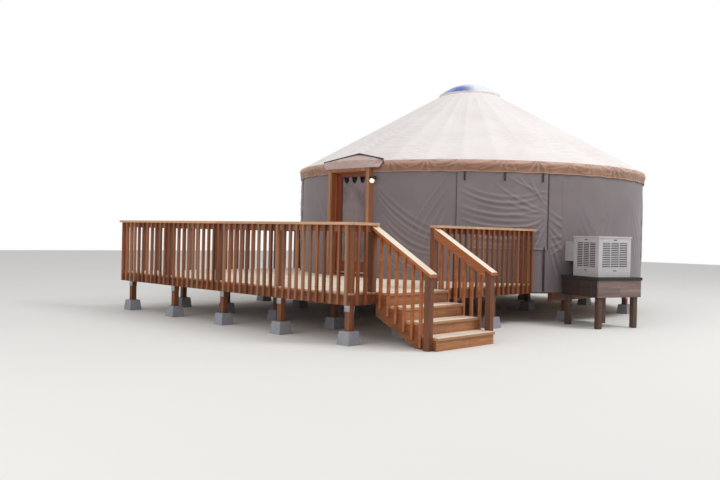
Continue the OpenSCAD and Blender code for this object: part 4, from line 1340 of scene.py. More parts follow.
@dataclass
class Valance:
    """The strip that hangs from the roof's edge, puckered where it is tied to the rafters."""

    roof: RoofCover
    step: float = 0.016
    rows: int = 21
    cloth_t: float = 0.003
    bulge: float = 0.013
    bulge_at: float = 0.05
    bulge_h: float = 0.065
    pinch: float = 0.45
    pinch_w: float = 0.1
    pucker: float = 0.013
    drift: Wave = Wave(14.0, 16.0, size=0.4, bend=(2.0, 3.1))
    creases: float = 5.0
    tie_over: tuple[float, float] = (0.02, 0.03)
    swirl: tuple[float, float] = (1.5, 4.0)
    fan_reach: float = 0.34
    swag: float = 0.009
    swag_w: float = 0.016
    swag_slant: float = 0.05
    swags: tuple[tuple[float, float], ...] = ((0.012, 0.055), (0.045, 0.105))
    hang_out: float = 0.003
    lip: float = 0.003
    tuck: float = 0.004
    hem_out: float = 0.003
    hem_waves: tuple[Wave, Wave] = (Wave(14.3), Wave(10.0, phase=2.0))
    calm_half: float = 0.80
    calm_w: float = 0.08
    seam_in: float = 0.002
    seed: int = 11

    def __post_init__(self) -> None:
        """Draws the chance of each pucker and reads the strip's place from the frame."""
        chance = np.random.default_rng(self.seed)
        self.strength, self.lean, self.shift = (
            chance.uniform(low, high, self.roof.rafters + 1)
            for low, high in ((0.45, 1.35), (-2.5, 2.5), (-0.14, 0.14)))
        self.low = box_of("valance")[0].z
        end_r, end_z = self.roof.profile(np.array([self.roof.edge]))
        self.top_r, self.high = float(end_r[0]) - self.seam_in, float(end_z[0]) + self.seam_in

    def shape(self, angle: Array, t: Array) -> Array:
        """Points of the strip.

        Args:
            angle: Angles from the door.
            t: 0 at the hem, 1 at the seam under the roof's edge.

        Returns:
            Points in metres.
        """
        bay = 360.0 / self.roof.rafters
        h = (self.high - self.low) * (1 - t)
        number = np.rint(angle / bay - 0.5)
        tie = number.astype(int) % len(self.strength)
        lean = self.lean[tie]
        s = np.radians(angle - (number + 0.5) * bay) * self.top_r + self.shift[tie]
        away, ray = np.hypot(s, h + self.tie_over[0]), np.arctan2(s, h + self.tie_over[1])
        rays = np.abs(np.sin(self.creases * ray + lean * self.swirl[0] + self.swirl[1] * away))
        fan = (1 - 2 * rays) * np.exp(-away / self.fan_reach) * self.strength[tie]
        between = (angle / bay - 0.5) % 1.0
        arc = 4 * between * (1 - between)
        swags = np.zeros(len(s))
        for k, (start, drop) in enumerate(self.swags):
            deep = 0.5 + 0.5 * self.strength[(tie + k) % len(self.strength)]
            line = start + drop * arc * deep + (between - 0.5) * self.swag_slant * lean
            swags += np.exp(-((h - line) / self.swag_w) ** 2) * arc ** 0.5
        along = np.radians(angle) * self.top_r
        pinch = 1 - self.pinch * np.exp(-(s / self.pinch_w) ** 2)
        body = np.exp(-((h - self.bulge_at) / self.bulge_h) ** 2) * pinch
        hang_share = ramp(h, 0.0, 0.04)
        half = np.abs(np.sin(np.radians(angle))) * self.top_r
        calm = np.where(np.cos(np.radians(angle)) > 0,
                        ramp(half, self.calm_half, self.calm_half + self.calm_w, 0.1), 1.0)
        pucker = fan * ramp(h, 0.0, 0.03) + self.drift.at(along, h) * hang_share
        puff = (self.bulge * body + self.pucker * pucker + self.swag * swags
                + self.hang_out * hang_share) * calm
        lip = self.lip * ramp(t, 0.08, 0.0) - self.tuck * (1 - t)
        wavy = self.hem_out * sum(wave.at(along) for wave in self.hem_waves) * (1 - t) ** 2
        return on_round(self.top_r + puff + lip, angle, self.high - h + wavy)

    def build(self) -> None:
        """Builds the strip from one side of the door round to the other."""
        x, y, _ = points_of("valance").T
        reach = np.degrees(np.arctan2(x, -y)) % 360
        across = columns(float(reach.min()), float(reach.max()),
                         math.degrees(self.step / self.top_r))
        strip = cloth("valance_strip", across, np.linspace(0, 1, self.rows), self.shape,
                      self.cloth_t)
        hang(strip, VALANCE_CLOTH, "valance")


@dataclass
class DoorFlap:
    """The fabric flap from the roof over the door's head, and the rain strip above it."""

    roof: RoofCover
    cloth_t: float = 0.003
    grid: tuple[int, int, int] = (97, 9, 14)
    bow: float = 0.018
    droop: float = 0.012
    proud: float = 0.004
    taper_from: tuple[float, float] = (0.72, 0.93)
    slump: float = 0.010
    slump_wave: Wave = Wave(21.0, size=0.4)
    ruck: float = 0.0045
    ruck_waves: tuple[Wave, Wave] = (Wave(15.0, 5.0, bend=(2.2, 4.3)),
                                     Wave(37.0, -9.0, size=0.5))
    crumpled: float = 1.4
    crumpled_from: tuple[float, float] = (0.6, 0.85)
    tuck: float = 0.004

    def __post_init__(self) -> None:
        """Reads the flap's corners from the frame."""
        points = points_of("door_flap")
        low, high = box_of("door_flap")
        self.front_y, self.foot_z = low.y, low.z
        front = points[points[:, 1] < low.y + 0.001]
        self.front_half = float(np.abs(front[:, 0]).max())
        self.fold_z = float(front[:, 2].max())
        self.side_half = high.x
        self.side_y = -math.sqrt(self.roof.eave_r ** 2 - self.side_half ** 2)
        self.ridge_y = box_of("rain_strip")[1].y

    def shape(self, s: Array, t: Array) -> Array:
        """Points of the flap.

        Args:
            s: -1 at the left side, 1 at the right side.
            t: 0 at the hem, 1 at the fold, 2 at the roof.

        Returns:
            Points in metres.
        """
        x = s * self.side_half
        past = (np.abs(x) - self.front_half) / (self.side_half - self.front_half)
        y = self.front_y + (self.side_y - self.front_y) * ramp(past, -0.25, 1.0) ** 2
        fold = self.fold_z + self.bow * (1 - s ** 2) - self.droop * s ** 2
        taper = ramp(np.abs(s), np.where(s < 0, *self.taper_from), 1.0)
        foot = self.foot_z + (fold - self.droop - self.foot_z) * taper
        roof_y = self.ridge_y + (self.side_y - self.ridge_y) * np.abs(s)
        reach = np.hypot(x, roof_y)
        roof_z = self.roof.eave_z + (self.roof.eave_r - reach) * math.tan(self.roof.pitch)
        up, down = np.clip(t - 1, 0, 1), np.clip(t, 0, 1)
        slump = self.slump * np.sin(np.pi * up) * (1 + self.slump_wave.at(x))
        crumpled = 1 + self.crumpled * ramp(s, *self.crumpled_from)
        folds = sum(wave.at(x, t) for wave in self.ruck_waves)
        ruck = self.ruck * crumpled * folds * np.sin(np.pi * np.clip(t / 2, 0, 1))
        out_y = y + (roof_y - y) * up + ruck * (1 - up) - self.tuck * (1 - down)
        out_z = np.where(t < 1, foot + (fold - foot) * down,
                         fold + (roof_z + self.proud - fold) * up - slump)
        return np.stack((x, out_y, out_z), axis=1)

    def build(self) -> None:
        """Builds the flap and dresses the rain strip."""
        across, front, top = self.grid
        upward = np.concatenate((np.linspace(0, 1, front)[:-1], np.linspace(1, 2, top)))
        flap = cloth("door_flap_cloth", np.linspace(-1, 1, across), upward, self.shape,
                     self.cloth_t)
        hang(flap, DOOR_FLAP_SHADED_CLOTH, "door_flap")
        dress_nodes(rain_strip=DARK_TRIM)


@dataclass
class PhotoView:
    """The camera, placed and turned as the photograph was taken."""

    place: tuple[float, float, float] = (10.493, -14.067, 1.495)
    ahead: tuple[float, float] = (-0.7002, 0.7139)
    pitch: float = -0.41
    roll: float = 1.30
    lens: float = 39.17
    sensor: float = 36.0
    far: float = 200.0

    def build(self) -> None:
        """Adds the camera and makes it the scene's."""
        flat = Vector((*self.ahead, 0.0)).normalized()
        right = Vector((flat.y, -flat.x, 0.0))
        tilt, turn = math.radians(self.pitch), math.radians(self.roll)
        forward = flat * math.cos(tilt) + Vector((0, 0, math.sin(tilt)))
        up = right.cross(forward)
        side = right * math.cos(turn) + up * math.sin(turn)
        top = up * math.cos(turn) - right * math.sin(turn)
        lens = bpy.data.cameras.new("photo_view")
        lens.lens, lens.sensor_width, lens.clip_end = self.lens, self.sensor, self.far
        camera = bpy.data.objects.new("photo_view", lens)
        bpy.context.collection.objects.link(camera)
        axes = Matrix((side, top, -forward)).transposed().to_4x4()
        camera.matrix_world = Matrix.Translation(self.place) @ axes
        bpy.context.scene.camera = camera


@dataclass
class Studio:
    """Pale floor, white surroundings, and soft light from the upper right and behind."""

    floor: Colour = (0.80, 0.79, 0.77)
    around: float = 0.62
    half: float = 40.0
    below: float = 0.001
    lights: tuple[tuple[Any, ...], ...] = (
        ("key_light", (13.0, 1.5, 15.0), (0.0, -1.0, 1.5), 1480.0, 7.0),
        ("fill_light", (4.0, -20.0, 7.0), (1.0, -3.0, 1.5), 620.0, 9.0))

    def light(self, name: str, place: Place, aim: Place, power: float, size: float) -> None:
        """Adds one soft square light.

        Args:
            name: Name of the light.
            place: Where it stands.
            aim: Point that it shines at.
            power: Power in watts.
            size: Side of the square in metres.
        """
        lamp = bpy.data.lights.new(name, "AREA")
        lamp.energy, lamp.size = power, size
        piece = bpy.data.objects.new(name, lamp)
        bpy.context.collection.objects.link(piece)
        piece.location = place
        piece.rotation_euler = (Vector(aim) - Vector(place)).to_track_quat("-Z", "Y").to_euler()

    def surroundings(self) -> None:
        """Makes a world that looks white but lights the part more weakly."""
        world = bpy.data.worlds.new("plain_white")
        bpy.context.scene.world = world
        world.use_nodes = True
        tree = world.node_tree
        back = tree.nodes["Background"]
        back.inputs["Color"].default_value = (1.0, 1.0, 1.0, 1.0)
        path = tree.nodes.new("ShaderNodeLightPath")
        seen = path.outputs["Is Camera Ray"]
        for ray in ("Is Glossy Ray", "Is Transmission Ray"):
            either = tree.nodes.new("ShaderNodeMath")
            either.operation = "MAXIMUM"
            tree.links.new(seen, either.inputs[0])
            tree.links.new(path.outputs[ray], either.inputs[1])
            seen = either.outputs[0]
        level = tree.nodes.new("ShaderNodeMapRange")
        level.inputs["To Min"].default_value = self.around
        level.inputs["To Max"].default_value = 1.0
        tree.links.new(seen, level.inputs["Value"])
        tree.links.new(level.outputs[0], back.inputs["Strength"])

    def build(self) -> None:
        """Adds the floor, the world and the lights."""
        ground = add("studio_floor", bpy.ops.mesh.primitive_grid_add, x_subdivisions=8,
                     y_subdivisions=8, size=2 * self.half, location=(0, 0, -self.below))
        surface = Surface("studio_floor")
        cloud = surface.noise(surface.place(), 0.3, 3.0, 0.5)
        paler = tuple(c * 1.04 for c in self.floor)
        surface.set(Base_Color=surface.mix(cloud, self.floor, paler), Roughness=0.9)
        ground.data.materials.append(surface.material)
        settle(ground)
        self.surroundings()
        for light in self.lights:
            self.light(*light)
        bpy.context.scene.view_settings.view_transform = "Standard"


@dataclass
class Skylight:
    """The dome's clamp ring with its screws, and the finishes of dome and curb."""

    clamp_w: float = 0.03
    clamp_t: float = 0.006
    sides: int = 128
    foot: float = 0.001
    rise: float = 0.012
    ease: float = 0.0015
    over: float = 0.004
    screws: int = 24
    screw_r: float = 0.007
    screw_z: tuple[float, float] = (0.010, 0.017)

    def build(self) -> None:
        """Builds the ring and the screws, and dresses the CAD nodes."""
        low, high = box_of("skylight_dome")
        outer = high.x + self.over
        share = (outer - self.clamp_w) / outer
        ring = add("dome_clamp", bpy.ops.mesh.primitive_circle_add, vertices=self.sides,
                   radius=outer, fill_type="NOTHING", location=(0, 0, low.z + self.foot))
        bpy.ops.object.mode_set(mode="EDIT")
        bpy.ops.mesh.select_all(action="SELECT")
        bpy.ops.mesh.extrude_region_move()
        bpy.ops.transform.resize(value=(share, share, 1))
        bpy.ops.transform.translate(value=(0, 0, self.rise))
        bpy.ops.mesh.select_all(action="SELECT")
        bpy.ops.mesh.normals_make_consistent(inside=False)
        bpy.ops.object.mode_set(mode="OBJECT")
        modifier(ring, "SOLIDIFY", thickness=self.clamp_t, offset=0.0)
        parts = [settle(ring, self.ease)]
        for i in range(self.screws):
            ends = (turned(360 / self.screws * i) @ Vector((0, self.clamp_w / 2 - outer, low.z + z))
                    for z in self.screw_z)
            parts.append(rod("dome_clamp", *ends, self.screw_r, 10, 0.001))
        report(CURB_METAL.dress(join("dome_clamp", parts)))
        dress_nodes(skylight_curb=CURB_METAL, skylight_dome=DOME_PANE)


@dataclass
class InnerFrame:
    """The floor's planks inside, and the finishes of lattice, rafters and ring."""

    plank_w: float = 0.14
    groove: float = 0.003
    ease: float = 0.0015

    def build(self) -> None:
        """Builds the planks and dresses the frame."""
        low, high = box_of("platform_floor")
        places, pitch = rows_of("platform_floor", self.plank_w)
        boxes = []
        for y in places:
            edge = min(abs(y), abs(y + pitch)) if y * (y + pitch) > 0 else 0.0
            half = math.sqrt(max(high.x ** 2 - edge ** 2, 0.01))
            boxes.append(((-half, y, low.z), (half, y + pitch - self.groove, high.z)))
        floor = cut_round(boards("floor_planks", boxes, self.ease), "platform_floor", high.x,
                          "INTERSECT", 192)
        pine("floor_pine", Grain.ALONG_X, WHOLE, pitch, WHOLE).dress(floor)
        report(floor, "platform_floor", slot="pine")
        laths = pine("lath_pine", Grain.UPRIGHT, 0.3, 0.3, WHOLE)
        dress_nodes(centre_ring=pine("ring_pine", Grain.ALONG_X, WHOLE, WHOLE, 0.12),
                    rafters=pine("rafter_pine", Grain.ALONG_X, 0.5, 0.5, WHOLE),
                    lattice_left=laths, lattice_right=laths)


@dataclass
class Doorway:
    """Door frame, leaf, curtain and porch light; the socket's ends are seen from the globe."""

    casing_w: float = 0.068
    casing_t: float = 0.009
    casing_ease: float = 0.0025
    bead_w: float = 0.016
    bead_t: float = 0.012
    bead_ease: float = 0.004
    bar_off: float = 0.018
    bar_t: float = 0.016
    bar_ends: tuple[float, float] = (0.03, 0.02)
    bar_z: tuple[float, float] = (0.02, 0.055)
    bar_ease: float = 0.006
    folds: int = 17
    scallop: float = 0.12
    curtain_t: float = 0.0015
    curtain_room: float = 0.0025
    curtain_top: float = 0.012
    curtain_wave: Wave = Wave(97.0, 9.0, size=0.12)
    curtain_grid: tuple[int, int] = (229, 31)
    globe_r: float = 0.042
    globe_in: float = 0.011
    body_up: float = 0.02
    arm_r: float = 0.014
    rose_r: float = 0.03
    rose_t: float = 0.012
    socket_r: float = 0.031
    socket_ends: tuple[Place, Place] = ((0.002, 0.004, 0.028), (0.006, 0.012, 0.044))
    cap_t: float = 0.014
    cap_over: float = 0.003

    def casing(self) -> None:
        """Dresses the frame and lays the pale casing boards on its front."""
        low, high = box_of("door_frame")
        boxes = bars_round(high.x, self.casing_w, (low.y - self.casing_t, low.y), (low.z, high.z))
        wood = StainedWood("casing_wood", *CASING, Grain.UPRIGHT, (0.3, 0.3, WHOLE), spread=0.15)
        report(wood.dress(boards("door_casing", boxes[:3], self.casing_ease)))
        dress_nodes(door_frame=StainedWood("jamb_wood", *JAMB, Grain.UPRIGHT, (0.3, 0.3, WHOLE),
                                           spread=0.15))

    def leaf(self) -> None:
        """Dresses the leaf and adds glazing beads and a weather bar."""
        wood = StainedWood("leaf_wood", *LEAF, Grain.UPRIGHT, (0.35, 0.3, WHOLE), spread=0.1,
                           roughness=0.42)
        low, high = box_of("door_glass")
        boxes = bars_round(high.x, self.bead_w, (low.y - self.bead_t, low.y), (low.z, high.z))
        beads = boards("leaf_beads", boxes, self.bead_ease)
        report(wood.dress(beads), body=DOOR)
        leaf_low, leaf_high = box_of("door_leaf")
        front = low.y - self.bar_off
        bar = board("weather_bar", (leaf_low.x + self.bar_ends[0], front - self.bar_t,
                                    leaf_low.z + self.bar_z[0]),
                    (leaf_high.x - self.bar_ends[1], front, leaf_low.z + self.bar_z[1]),
                    self.bar_ease)
        report(ZINC.dress(bar), body=DOOR)
        dress_nodes(door_leaf=wood, door_glass=DOOR_PANE, door_knob=BRASS)

    def curtain_shape(self, s: Array, t: Array) -> Array:
        """Points of the curtain.

        Args:
            s: 0 at the left, 1 at the right.
            t: 0 at the hem, 1 at the top.

        Returns:
            Points in metres.
        """
        low, high = box_of("door_curtain")
        dip = np.clip(1 - (((s * 3) % 1.0 - 0.5) / 0.34) ** 2, 0, 1) ** 0.5 * self.scallop
        top = high.z - self.curtain_top - dip
        pleat = np.sin(s * self.folds * 2 * np.pi + 0.5 * np.sin(t * 5.0)) * (0.9 - 0.15 * t)
        deep = (high.y - low.y) / 2 - self.curtain_room
        y = (low.y + high.y) / 2 + deep * np.clip(pleat + self.curtain_wave.at(s, t), -1, 1)
        return np.stack((low.x + (high.x - low.x) * s, y, low.z + (top - low.z) * t), axis=1)

    def curtain(self) -> None:
        """Hangs the gathered curtain in the leaf."""
        across, upward = (np.linspace(0, 1, count) for count in self.curtain_grid)
        sheet = cloth("gathered_curtain", across, upward, self.curtain_shape, self.curtain_t)
        hang(sheet, CURTAIN_CLOTH, "door_curtain",
             DOOR)

    def lamp(self) -> None:
        """Builds the porch light: arm, body with a cap, socket, and a warm globe below."""
        low, high = box_of("porch_light")
        points = points_of("porch_light")
        middle = Vector((float(points[points[:, 2] < low.z + 0.004][:, 0].mean()),
                         low.y + self.globe_r, low.z + self.globe_r))
        x, z, over = middle.x - self.globe_in, middle.z + self.body_up, self.cap_over
        arm_y, arm_z = high.y - self.arm_r - 0.001, (z + high.z) / 2
        cap_z = high.z - self.cap_t
        name = "lamp_body"
        parts = [
            board(name, (x, middle.y, z), (high.x, high.y, cap_z), 0.012),
            board(name, (x - over, middle.y - over, cap_z),
                  (high.x + over, high.y + over, high.z), 0.005),
            rod(name, (low.x - 0.001, arm_y, arm_z), (x + 0.01, arm_y, arm_z), self.arm_r, 16),
            rod(name, (low.x, arm_y, arm_z), (low.x + self.rose_t, arm_y, arm_z), self.rose_r,
                24, over),
            rod(name, *(middle + Vector(end) for end in self.socket_ends), self.socket_r, 24,
                over)]
        report(LAMP_METAL.dress(join(name, parts)), "porch_light")
        globe = add("lamp_globe", bpy.ops.mesh.primitive_uv_sphere_add, segments=32,
                    ring_count=20, radius=self.globe_r + 0.001, location=middle)
        report(GLOBE.dress(settle(globe, sharp=50.0)), "porch_light")

    def build(self) -> None:
        """Builds all of the doorway."""
        self.casing()
        self.leaf()
        self.curtain()
        self.lamp()


@dataclass
class Platform:
    """Brackets on the posts under the yurt, and finishes of beams, posts and pier blocks."""

    plate_w: float = 0.1
    plate_h: float = 0.085
    plate_t: float = 0.004
    bolt_r: float = 0.009
    bolt_x: float = 0.028
    bolt_h: float = 0.006
    post_half: float = 0.0445

    def posts(self) -> list[Vector]:
        """Finds the middles of the posts' tops from the corners of their feet.

        Returns:
            One place for each post.
        """
        points = points_of("support_posts")
        feet = points[points[:, 2] < points[:, 2].min() + 0.001]
        corners = {(round(float(x), 3), round(float(y), 3)) for x, y, _ in feet}
        width = 2 * self.post_half
        tops = []
        for x, y in sorted(corners):
            if (round(x + width, 3), y) in corners and (x, round(y + width, 3)) in corners:
                own = points[(np.abs(points[:, :2] - (x, y)) < 0.002).all(axis=1)]
                tops.append(Vector((x + self.post_half, y + self.post_half, own[:, 2].max())))
        return tops

    def bracket(self) -> Piece:
        """A pair of zinc plates with bolts, at the origin, on a post's faces along Y.

        Returns:
            The pair.
        """
        parts = []
        for side in (-1, 1):
            outer = side * (self.post_half + self.plate_t)
            y0, y1 = sorted((side * self.post_half, outer))
            parts.append(board("post_brackets", (-self.plate_w / 2, y0, -self.plate_h),
                               (self.plate_w / 2, y1, -0.001), 0.001))
            for x in (-self.bolt_x, self.bolt_x):
                at = Vector((x, outer, -self.plate_h / 2))
                parts.append(rod("post_brackets", at, at + Vector((0, side * self.bolt_h, 0)),
                                 self.bolt_r, 6))
        return join("post_brackets", parts)

    def build(self) -> None:
        """Puts a bracket on each post, turned to its beam, and dresses the CAD nodes."""
        model = self.bracket()
        tops = self.posts()
        beam = min(top.z for top in tops)
        copies = [copy_of(model, Matrix.Translation(top)
                          @ turned(90.0 if top.z < beam + 0.01 else 0.0)) for top in tops]
        bpy.data.objects.remove(model)
        report(ZINC.dress(join("post_brackets", copies)))
        dress_nodes(
            # The beams take the post colours, darker than the cedar, partly as dark timber and partly
            # as painted shade under the deck.
            platform_frame=StainedWood("beam_wood", *POST, Grain.ALONG_Y, (1.2, WHOLE, 0.14)),
            support_posts=StainedWood("post_cedar", *POST, Grain.UPRIGHT, (0.4, 0.4, WHOLE)),
            pier_blocks=CONCRETE)


@dataclass
class Deck:
    """Deck boards, rims, posts, railings and caps."""

    board_pitch: float = 0.145
    gap: float = 0.005
    ease: float = 0.004
    baluster_pitch: float = 0.146

    def build(self) -> None:
        """Replaces the deck slab by boards cut round the yurt, and dresses the timber."""
        low, high = box_of("deck_boards")
        places, pitch = rows_of("deck_boards", self.board_pitch)
        ends = [*(places[1:] - self.gap), high.y]
        planks = boards("deck_planks", [((low.x, y, low.z), (high.x, end, high.z))
                                        for y, end in zip(places, ends)], self.ease)
        reach = float(np.hypot(*points_of("deck_boards").T[:2]).min())
        cut_round(planks, "deck_boards", reach, "DIFFERENCE", 256)
        worn_and_sunlit_cedar("plank_cedar", Grain.ALONG_X, WHOLE, pitch, WHOLE,
                   start=(-10.0, low.y, 0.0)).dress(planks)
        report(planks, "deck_boards", slot="worn_and_sunlit_cedar")
        side = (WHOLE, self.baluster_pitch, WHOLE)
        front_x = box_of("front_railing")[0].x - 0.054
        dress_nodes(
            deck_frame=cedar("rim_cedar", Grain.ALONG_X, WHOLE, WHOLE, WHOLE),
            front_railing=cedar("front_cedar", Grain.UPRIGHT, self.baluster_pitch, 0.2, WHOLE,
                                start=(front_x, 0.0, 0.0), faded=CEDAR_FADED),
            left_railing=cedar("left_cedar", Grain.UPRIGHT, *side, faded=CEDAR_FADED),
            right_railing=cedar("right_cedar", Grain.UPRIGHT, *side),
            rail_posts=StainedWood("rail_post_cedar", *POST, Grain.UPRIGHT, (0.4, 0.4, WHOLE)),
            railing_cap=StainedWood("cap_cedar", *CAP, Grain.ALONG_X, (2.05, 0.3, WHOLE),
                                    worn_and_sunlit_top=WEATHERED_AND_SUNLIT, worn_and_sunlit_least=0.82, spread=0.15))


@dataclass
class Stair:
    """The stair: treads of two boards, jointed risers, stringers and sloped rails."""

    gap: float = 0.006
    ease: float = 0.005
    joint: float = 0.55
    joint_w: float = 0.003
    riser_ease: float = 0.002

    def halves(self, name: str, node: str, axis: int, at: float, gap: float,
               ease: float) -> Piece:
        """Builds each level board of a node from two boards.

        Args:
            name: Name of the piece.
            node: CAD node of the boards.
            axis: Axis along which the two boards follow each other.
            at: Share of the length at which they meet.
            gap: Gap between them.
            ease: Width of the eased edges.

        Returns:
            The piece.
        """
        boxes = []
        for low, high in slabs_of(node):
            cut = low[axis] + at * (high[axis] - low[axis])
            first, second = high.copy(), low.copy()
            first[axis], second[axis] = cut - gap / 2, cut + gap / 2
            boxes += [(low, first), (second, high)]
        return boards(name, boxes, ease)

    def build(self) -> None:
        """Builds the boards and dresses the rest."""
        treads = self.halves("tread_boards", "stair_treads", 0, 0.5, self.gap, self.ease)
        worn_and_sunlit_cedar("tread_cedar", Grain.ALONG_Y, 0.1405, WHOLE, 0.175).dress(treads)
        report(treads, "stair_treads", slot="worn_and_sunlit_cedar")
        risers = self.halves("riser_boards", "stair_risers", 1, self.joint, self.joint_w,
                             self.riser_ease)
        StainedWood("riser_cedar", *RISER, Grain.ALONG_Y, (0.281, 0.7, 0.175),
                    faded=RISER_FADED, spread=0.2).dress(risers)
        report(risers, "stair_risers", slot="stained_cedar")
        dress_nodes(
            stair_stringers=cedar("stringer_cedar", Grain.ALONG_X, WHOLE, 0.3, WHOLE),
            # Painted sunlight: the stair rails take a brighter copy of the cedar.
            stair_rails=StainedWood("stair_rail_cedar", *SUNLIT_STAIR_RAIL, Grain.ALONG_X,
                                    (WHOLE, 0.6, WHOLE), worn_and_sunlit_top=WEATHERED_AND_SUNLIT, worn_and_sunlit_least=0.85,
                                    spread=0.3))


@dataclass
class Cooler:
    """The wall cooler with louvred panels, on its stand of boards and posts."""

    azimuth: float = 70.5
    border: float = 0.068
    depth: float = 0.014
    pad_t: float = 0.003
    columns: int = 3
    slats: int = 14
    bar_w: float = 0.016
    slat_t: float = 0.0015
    slat_share: float = 0.42
    slat_tilt: float = -24.0
    latch_w: float = 0.07
    latch_h: float = 0.013
    latch_t: float = 0.006
    latch_gaps: tuple[float, float] = (0.038, 0.026)
    board_t: float = 0.038
    leg_w: float = 0.089
    seam: float = 0.0008
    ease: float = 0.002
    deep_ease: float = 0.004
    bolt_r: float = 0.008
    bolt_x: float = 0.08
    bolt_z: float = 0.05

    def set_down(self, piece: Piece, finish: Finish, *nodes: str, move: Matrix = Matrix(),
                 slot: str = "") -> None:
        """Moves a piece within the cooler's frame and to its place, dresses it, and reports it."""
        piece.data.transform(turned(self.azimuth) @ move)
        report(finish.dress(piece), *nodes, slot=slot)

    def grid(self, name: str, width: float, height: float) -> Piece:
        """A panel's light frame, bars and slats, its front at y = 0 and its depth towards +Y.

        Args:
            name: Name of the piece.
            width: Width of the panel.
            height: Height of the panel.

        Returns:
            The grid, centred in X with its foot at z = 0.
        """
        bar, back = self.bar_w, self.depth - self.pad_t
        span = (width - bar) / self.columns
        half = (span - bar) / 2
        lefts = [-width / 2 + i * span for i in range(self.columns + 1)]
        parts = [board(name, (x, 0, 0), (x + bar, back, height), self.ease) for x in lefts]
        parts += [board(name, (x + bar, 0.0005, z), (x + span, back, z + bar), 0.0)
                  for z in (0.0, height - bar) for x in lefts[:-1]]
        pitch = (height - 2 * bar) / self.slats
        slat = board(name, (-half, 0.0, 0.0), (half, self.slat_t, pitch * self.slat_share), 0.0)
        tilt = Matrix.Rotation(math.radians(self.slat_tilt), 4, "X")
        slat.data.transform(Matrix.Translation((0, 0.002, 0)) @ tilt)
        parts += [copy_of(slat, Matrix.Translation((x + bar + half, 0, bar + (k + 0.15) * pitch)))
                  for x in lefts[:-1] for k in range(self.slats)]
        bpy.data.objects.remove(slat)
        return join(name, parts)

    def panel(self, name: str, width: float, height: float, move: Matrix) -> None:
        """Builds one louvred panel: grid, pad behind it, and two latches on its border.

        Args:
            name: Name that the pieces share.
            width: Width of the panel.
            height: Height of the panel.
            move: Place of the panel in the cooler's own frame.
        """
        self.set_down(self.grid(f"louvres_{name}", width, height), COOLER_METAL,
                      "cooler_louvres", move=move, slot="cooler_metal")
        pad = board(f"cooler_pad_{name}", (-width / 2, self.depth - self.pad_t, 0),
                    (width / 2, self.depth, height), 0.0)
        activate(pad)
        bpy.ops.object.mode_set(mode="EDIT")
        bpy.ops.mesh.select_all(action="SELECT")
        bpy.ops.mesh.subdivide(number_cuts=14)
        bpy.ops.object.mode_set(mode="OBJECT")
        self.set_down(pad, FAN_PAD, "cooler_louvres", move=move, slot="stand_black")
        half = self.latch_w / 2
        feet = (-self.latch_gaps[0], height + self.latch_gaps[1])
        boxes = [((-half, -self.latch_t, z), (half, 0.0, z + self.latch_h)) for z in feet]
        self.set_down(boards(f"panel_latches_{name}", boxes, self.deep_ease), LAMP_METAL,
                      move=move)

    def louvres(self) -> None:
        """Builds the three panels."""
        low, high = box_of("cooler_louvres", angle=self.azimuth)
        height, start = high.z - low.z, low.y + self.border
        self.panel("front", 2 * (high.x - self.border), height,
                   Matrix.Translation((0, low.y, low.z)))
        for name, side in (("left", -1), ("right", 1)):
            at_side = Matrix.Translation((side * high.x, (start + high.y) / 2, low.z))
            self.panel(name, high.y - start, height, at_side @ turned(90 * side))

    def stand(self) -> None:
        """Builds the stand's boards and legs in the places of the CAD frame."""
        low, high = box_of("stand_frame", angle=self.azimuth)
        points = points_of("stand_frame", self.azimuth)
        foot = float(points[np.abs(points[:, 0] - low.x) < 0.002][:, 2].min())
        thick, leg_w, middle = self.board_t, self.leg_w, (foot + high.z) / 2
        runs = ((foot, middle - self.seam), (middle + self.seam, high.z))
        turn = -math.radians(self.azimuth)
        grey = StainedWood("stand_board", *STAND_BOARD, Grain.ALONG_X, (WHOLE, WHOLE, 0.143),
                           (0.0, 0.0, foot), turn=turn, spread=0.08)
        # The sides and back take a much darker copy of the front board's wood: painted shade.
        shaded_wood, leg = (StainedWood(name, *tones, Grain.UPRIGHT, (0.3, 0.3, WHOLE), turn=turn,
                                  spread=0.2)
                      for name, tones in (("stand_wood", STAND_SHADED_WOOD), ("leg_wood", STAND_LEG)))
        name = "stand_boards_front"
        parts = [board(name, (low.x, low.y, z0), (high.x, low.y + thick, z1), self.ease)
                 for z0, z1 in runs]
        parts += [rod(name, (x, low.y - 0.004, z), (x, low.y + 0.001, z), self.bolt_r, 10, 0.001)
                  for x in (low.x + self.bolt_x, 0.0, high.x - self.bolt_x)
                  for z in (foot + self.bolt_z, high.z - self.bolt_z)]
        self.set_down(join(name, parts), grey, "stand_frame", slot="stand_wood")
        boxes = []
        for z0, z1 in runs:
            boxes += [((x, low.y + thick + 0.001, z0), (x + thick, high.y, z1))
                      for x in (low.x, high.x - thick)]
            boxes.append(((low.x + thick, high.y - thick, z0), (high.x - thick, high.y, z1)))
        self.set_down(boards("stand_boards_sides", boxes, self.ease), shaded_wood, "stand_frame",
                      slot="stand_wood")
        boxes = [((x, y, 0.0), (x + leg_w, y + leg_w, high.z))
                 for x in (low.x + thick, high.x - thick - leg_w)
                 for y in (low.y + thick, high.y - thick - leg_w)]
        self.set_down(boards("stand_legs", boxes, self.deep_ease), leg, "stand_frame",
                      slot="stand_wood")

    def build(self) -> None:
        """Builds the panels and the stand, and dresses the cabinet, the duct and the top."""
        self.louvres()
        self.stand()
        dress_nodes(cooler_cabinet=COOLER_METAL, cooler_duct=DUCT_METAL, stand_top=STAND_BLACK)


def main() -> None:
    """Builds the scene in order."""
    logging.basicConfig(level=logging.INFO, format="%(name)s %(message)s")
    wall, roof = WallCover(), RoofCover()
    for part in (PhotoView(), Studio(), wall, WindowFlaps(wall), roof, Valance(roof),
                 DoorFlap(roof), Skylight(), InnerFrame(), Doorway(), Platform(), Deck(),
                 Stair(), Cooler()):
        part.build()


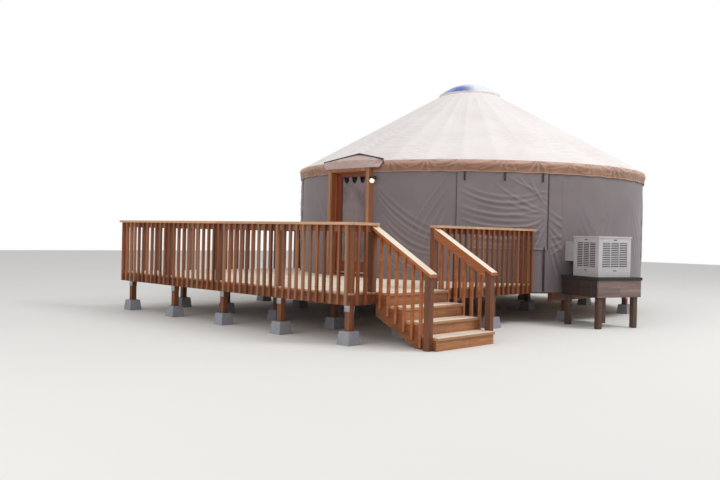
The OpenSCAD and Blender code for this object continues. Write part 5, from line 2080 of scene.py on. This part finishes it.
if __name__ == "__main__":
    main()
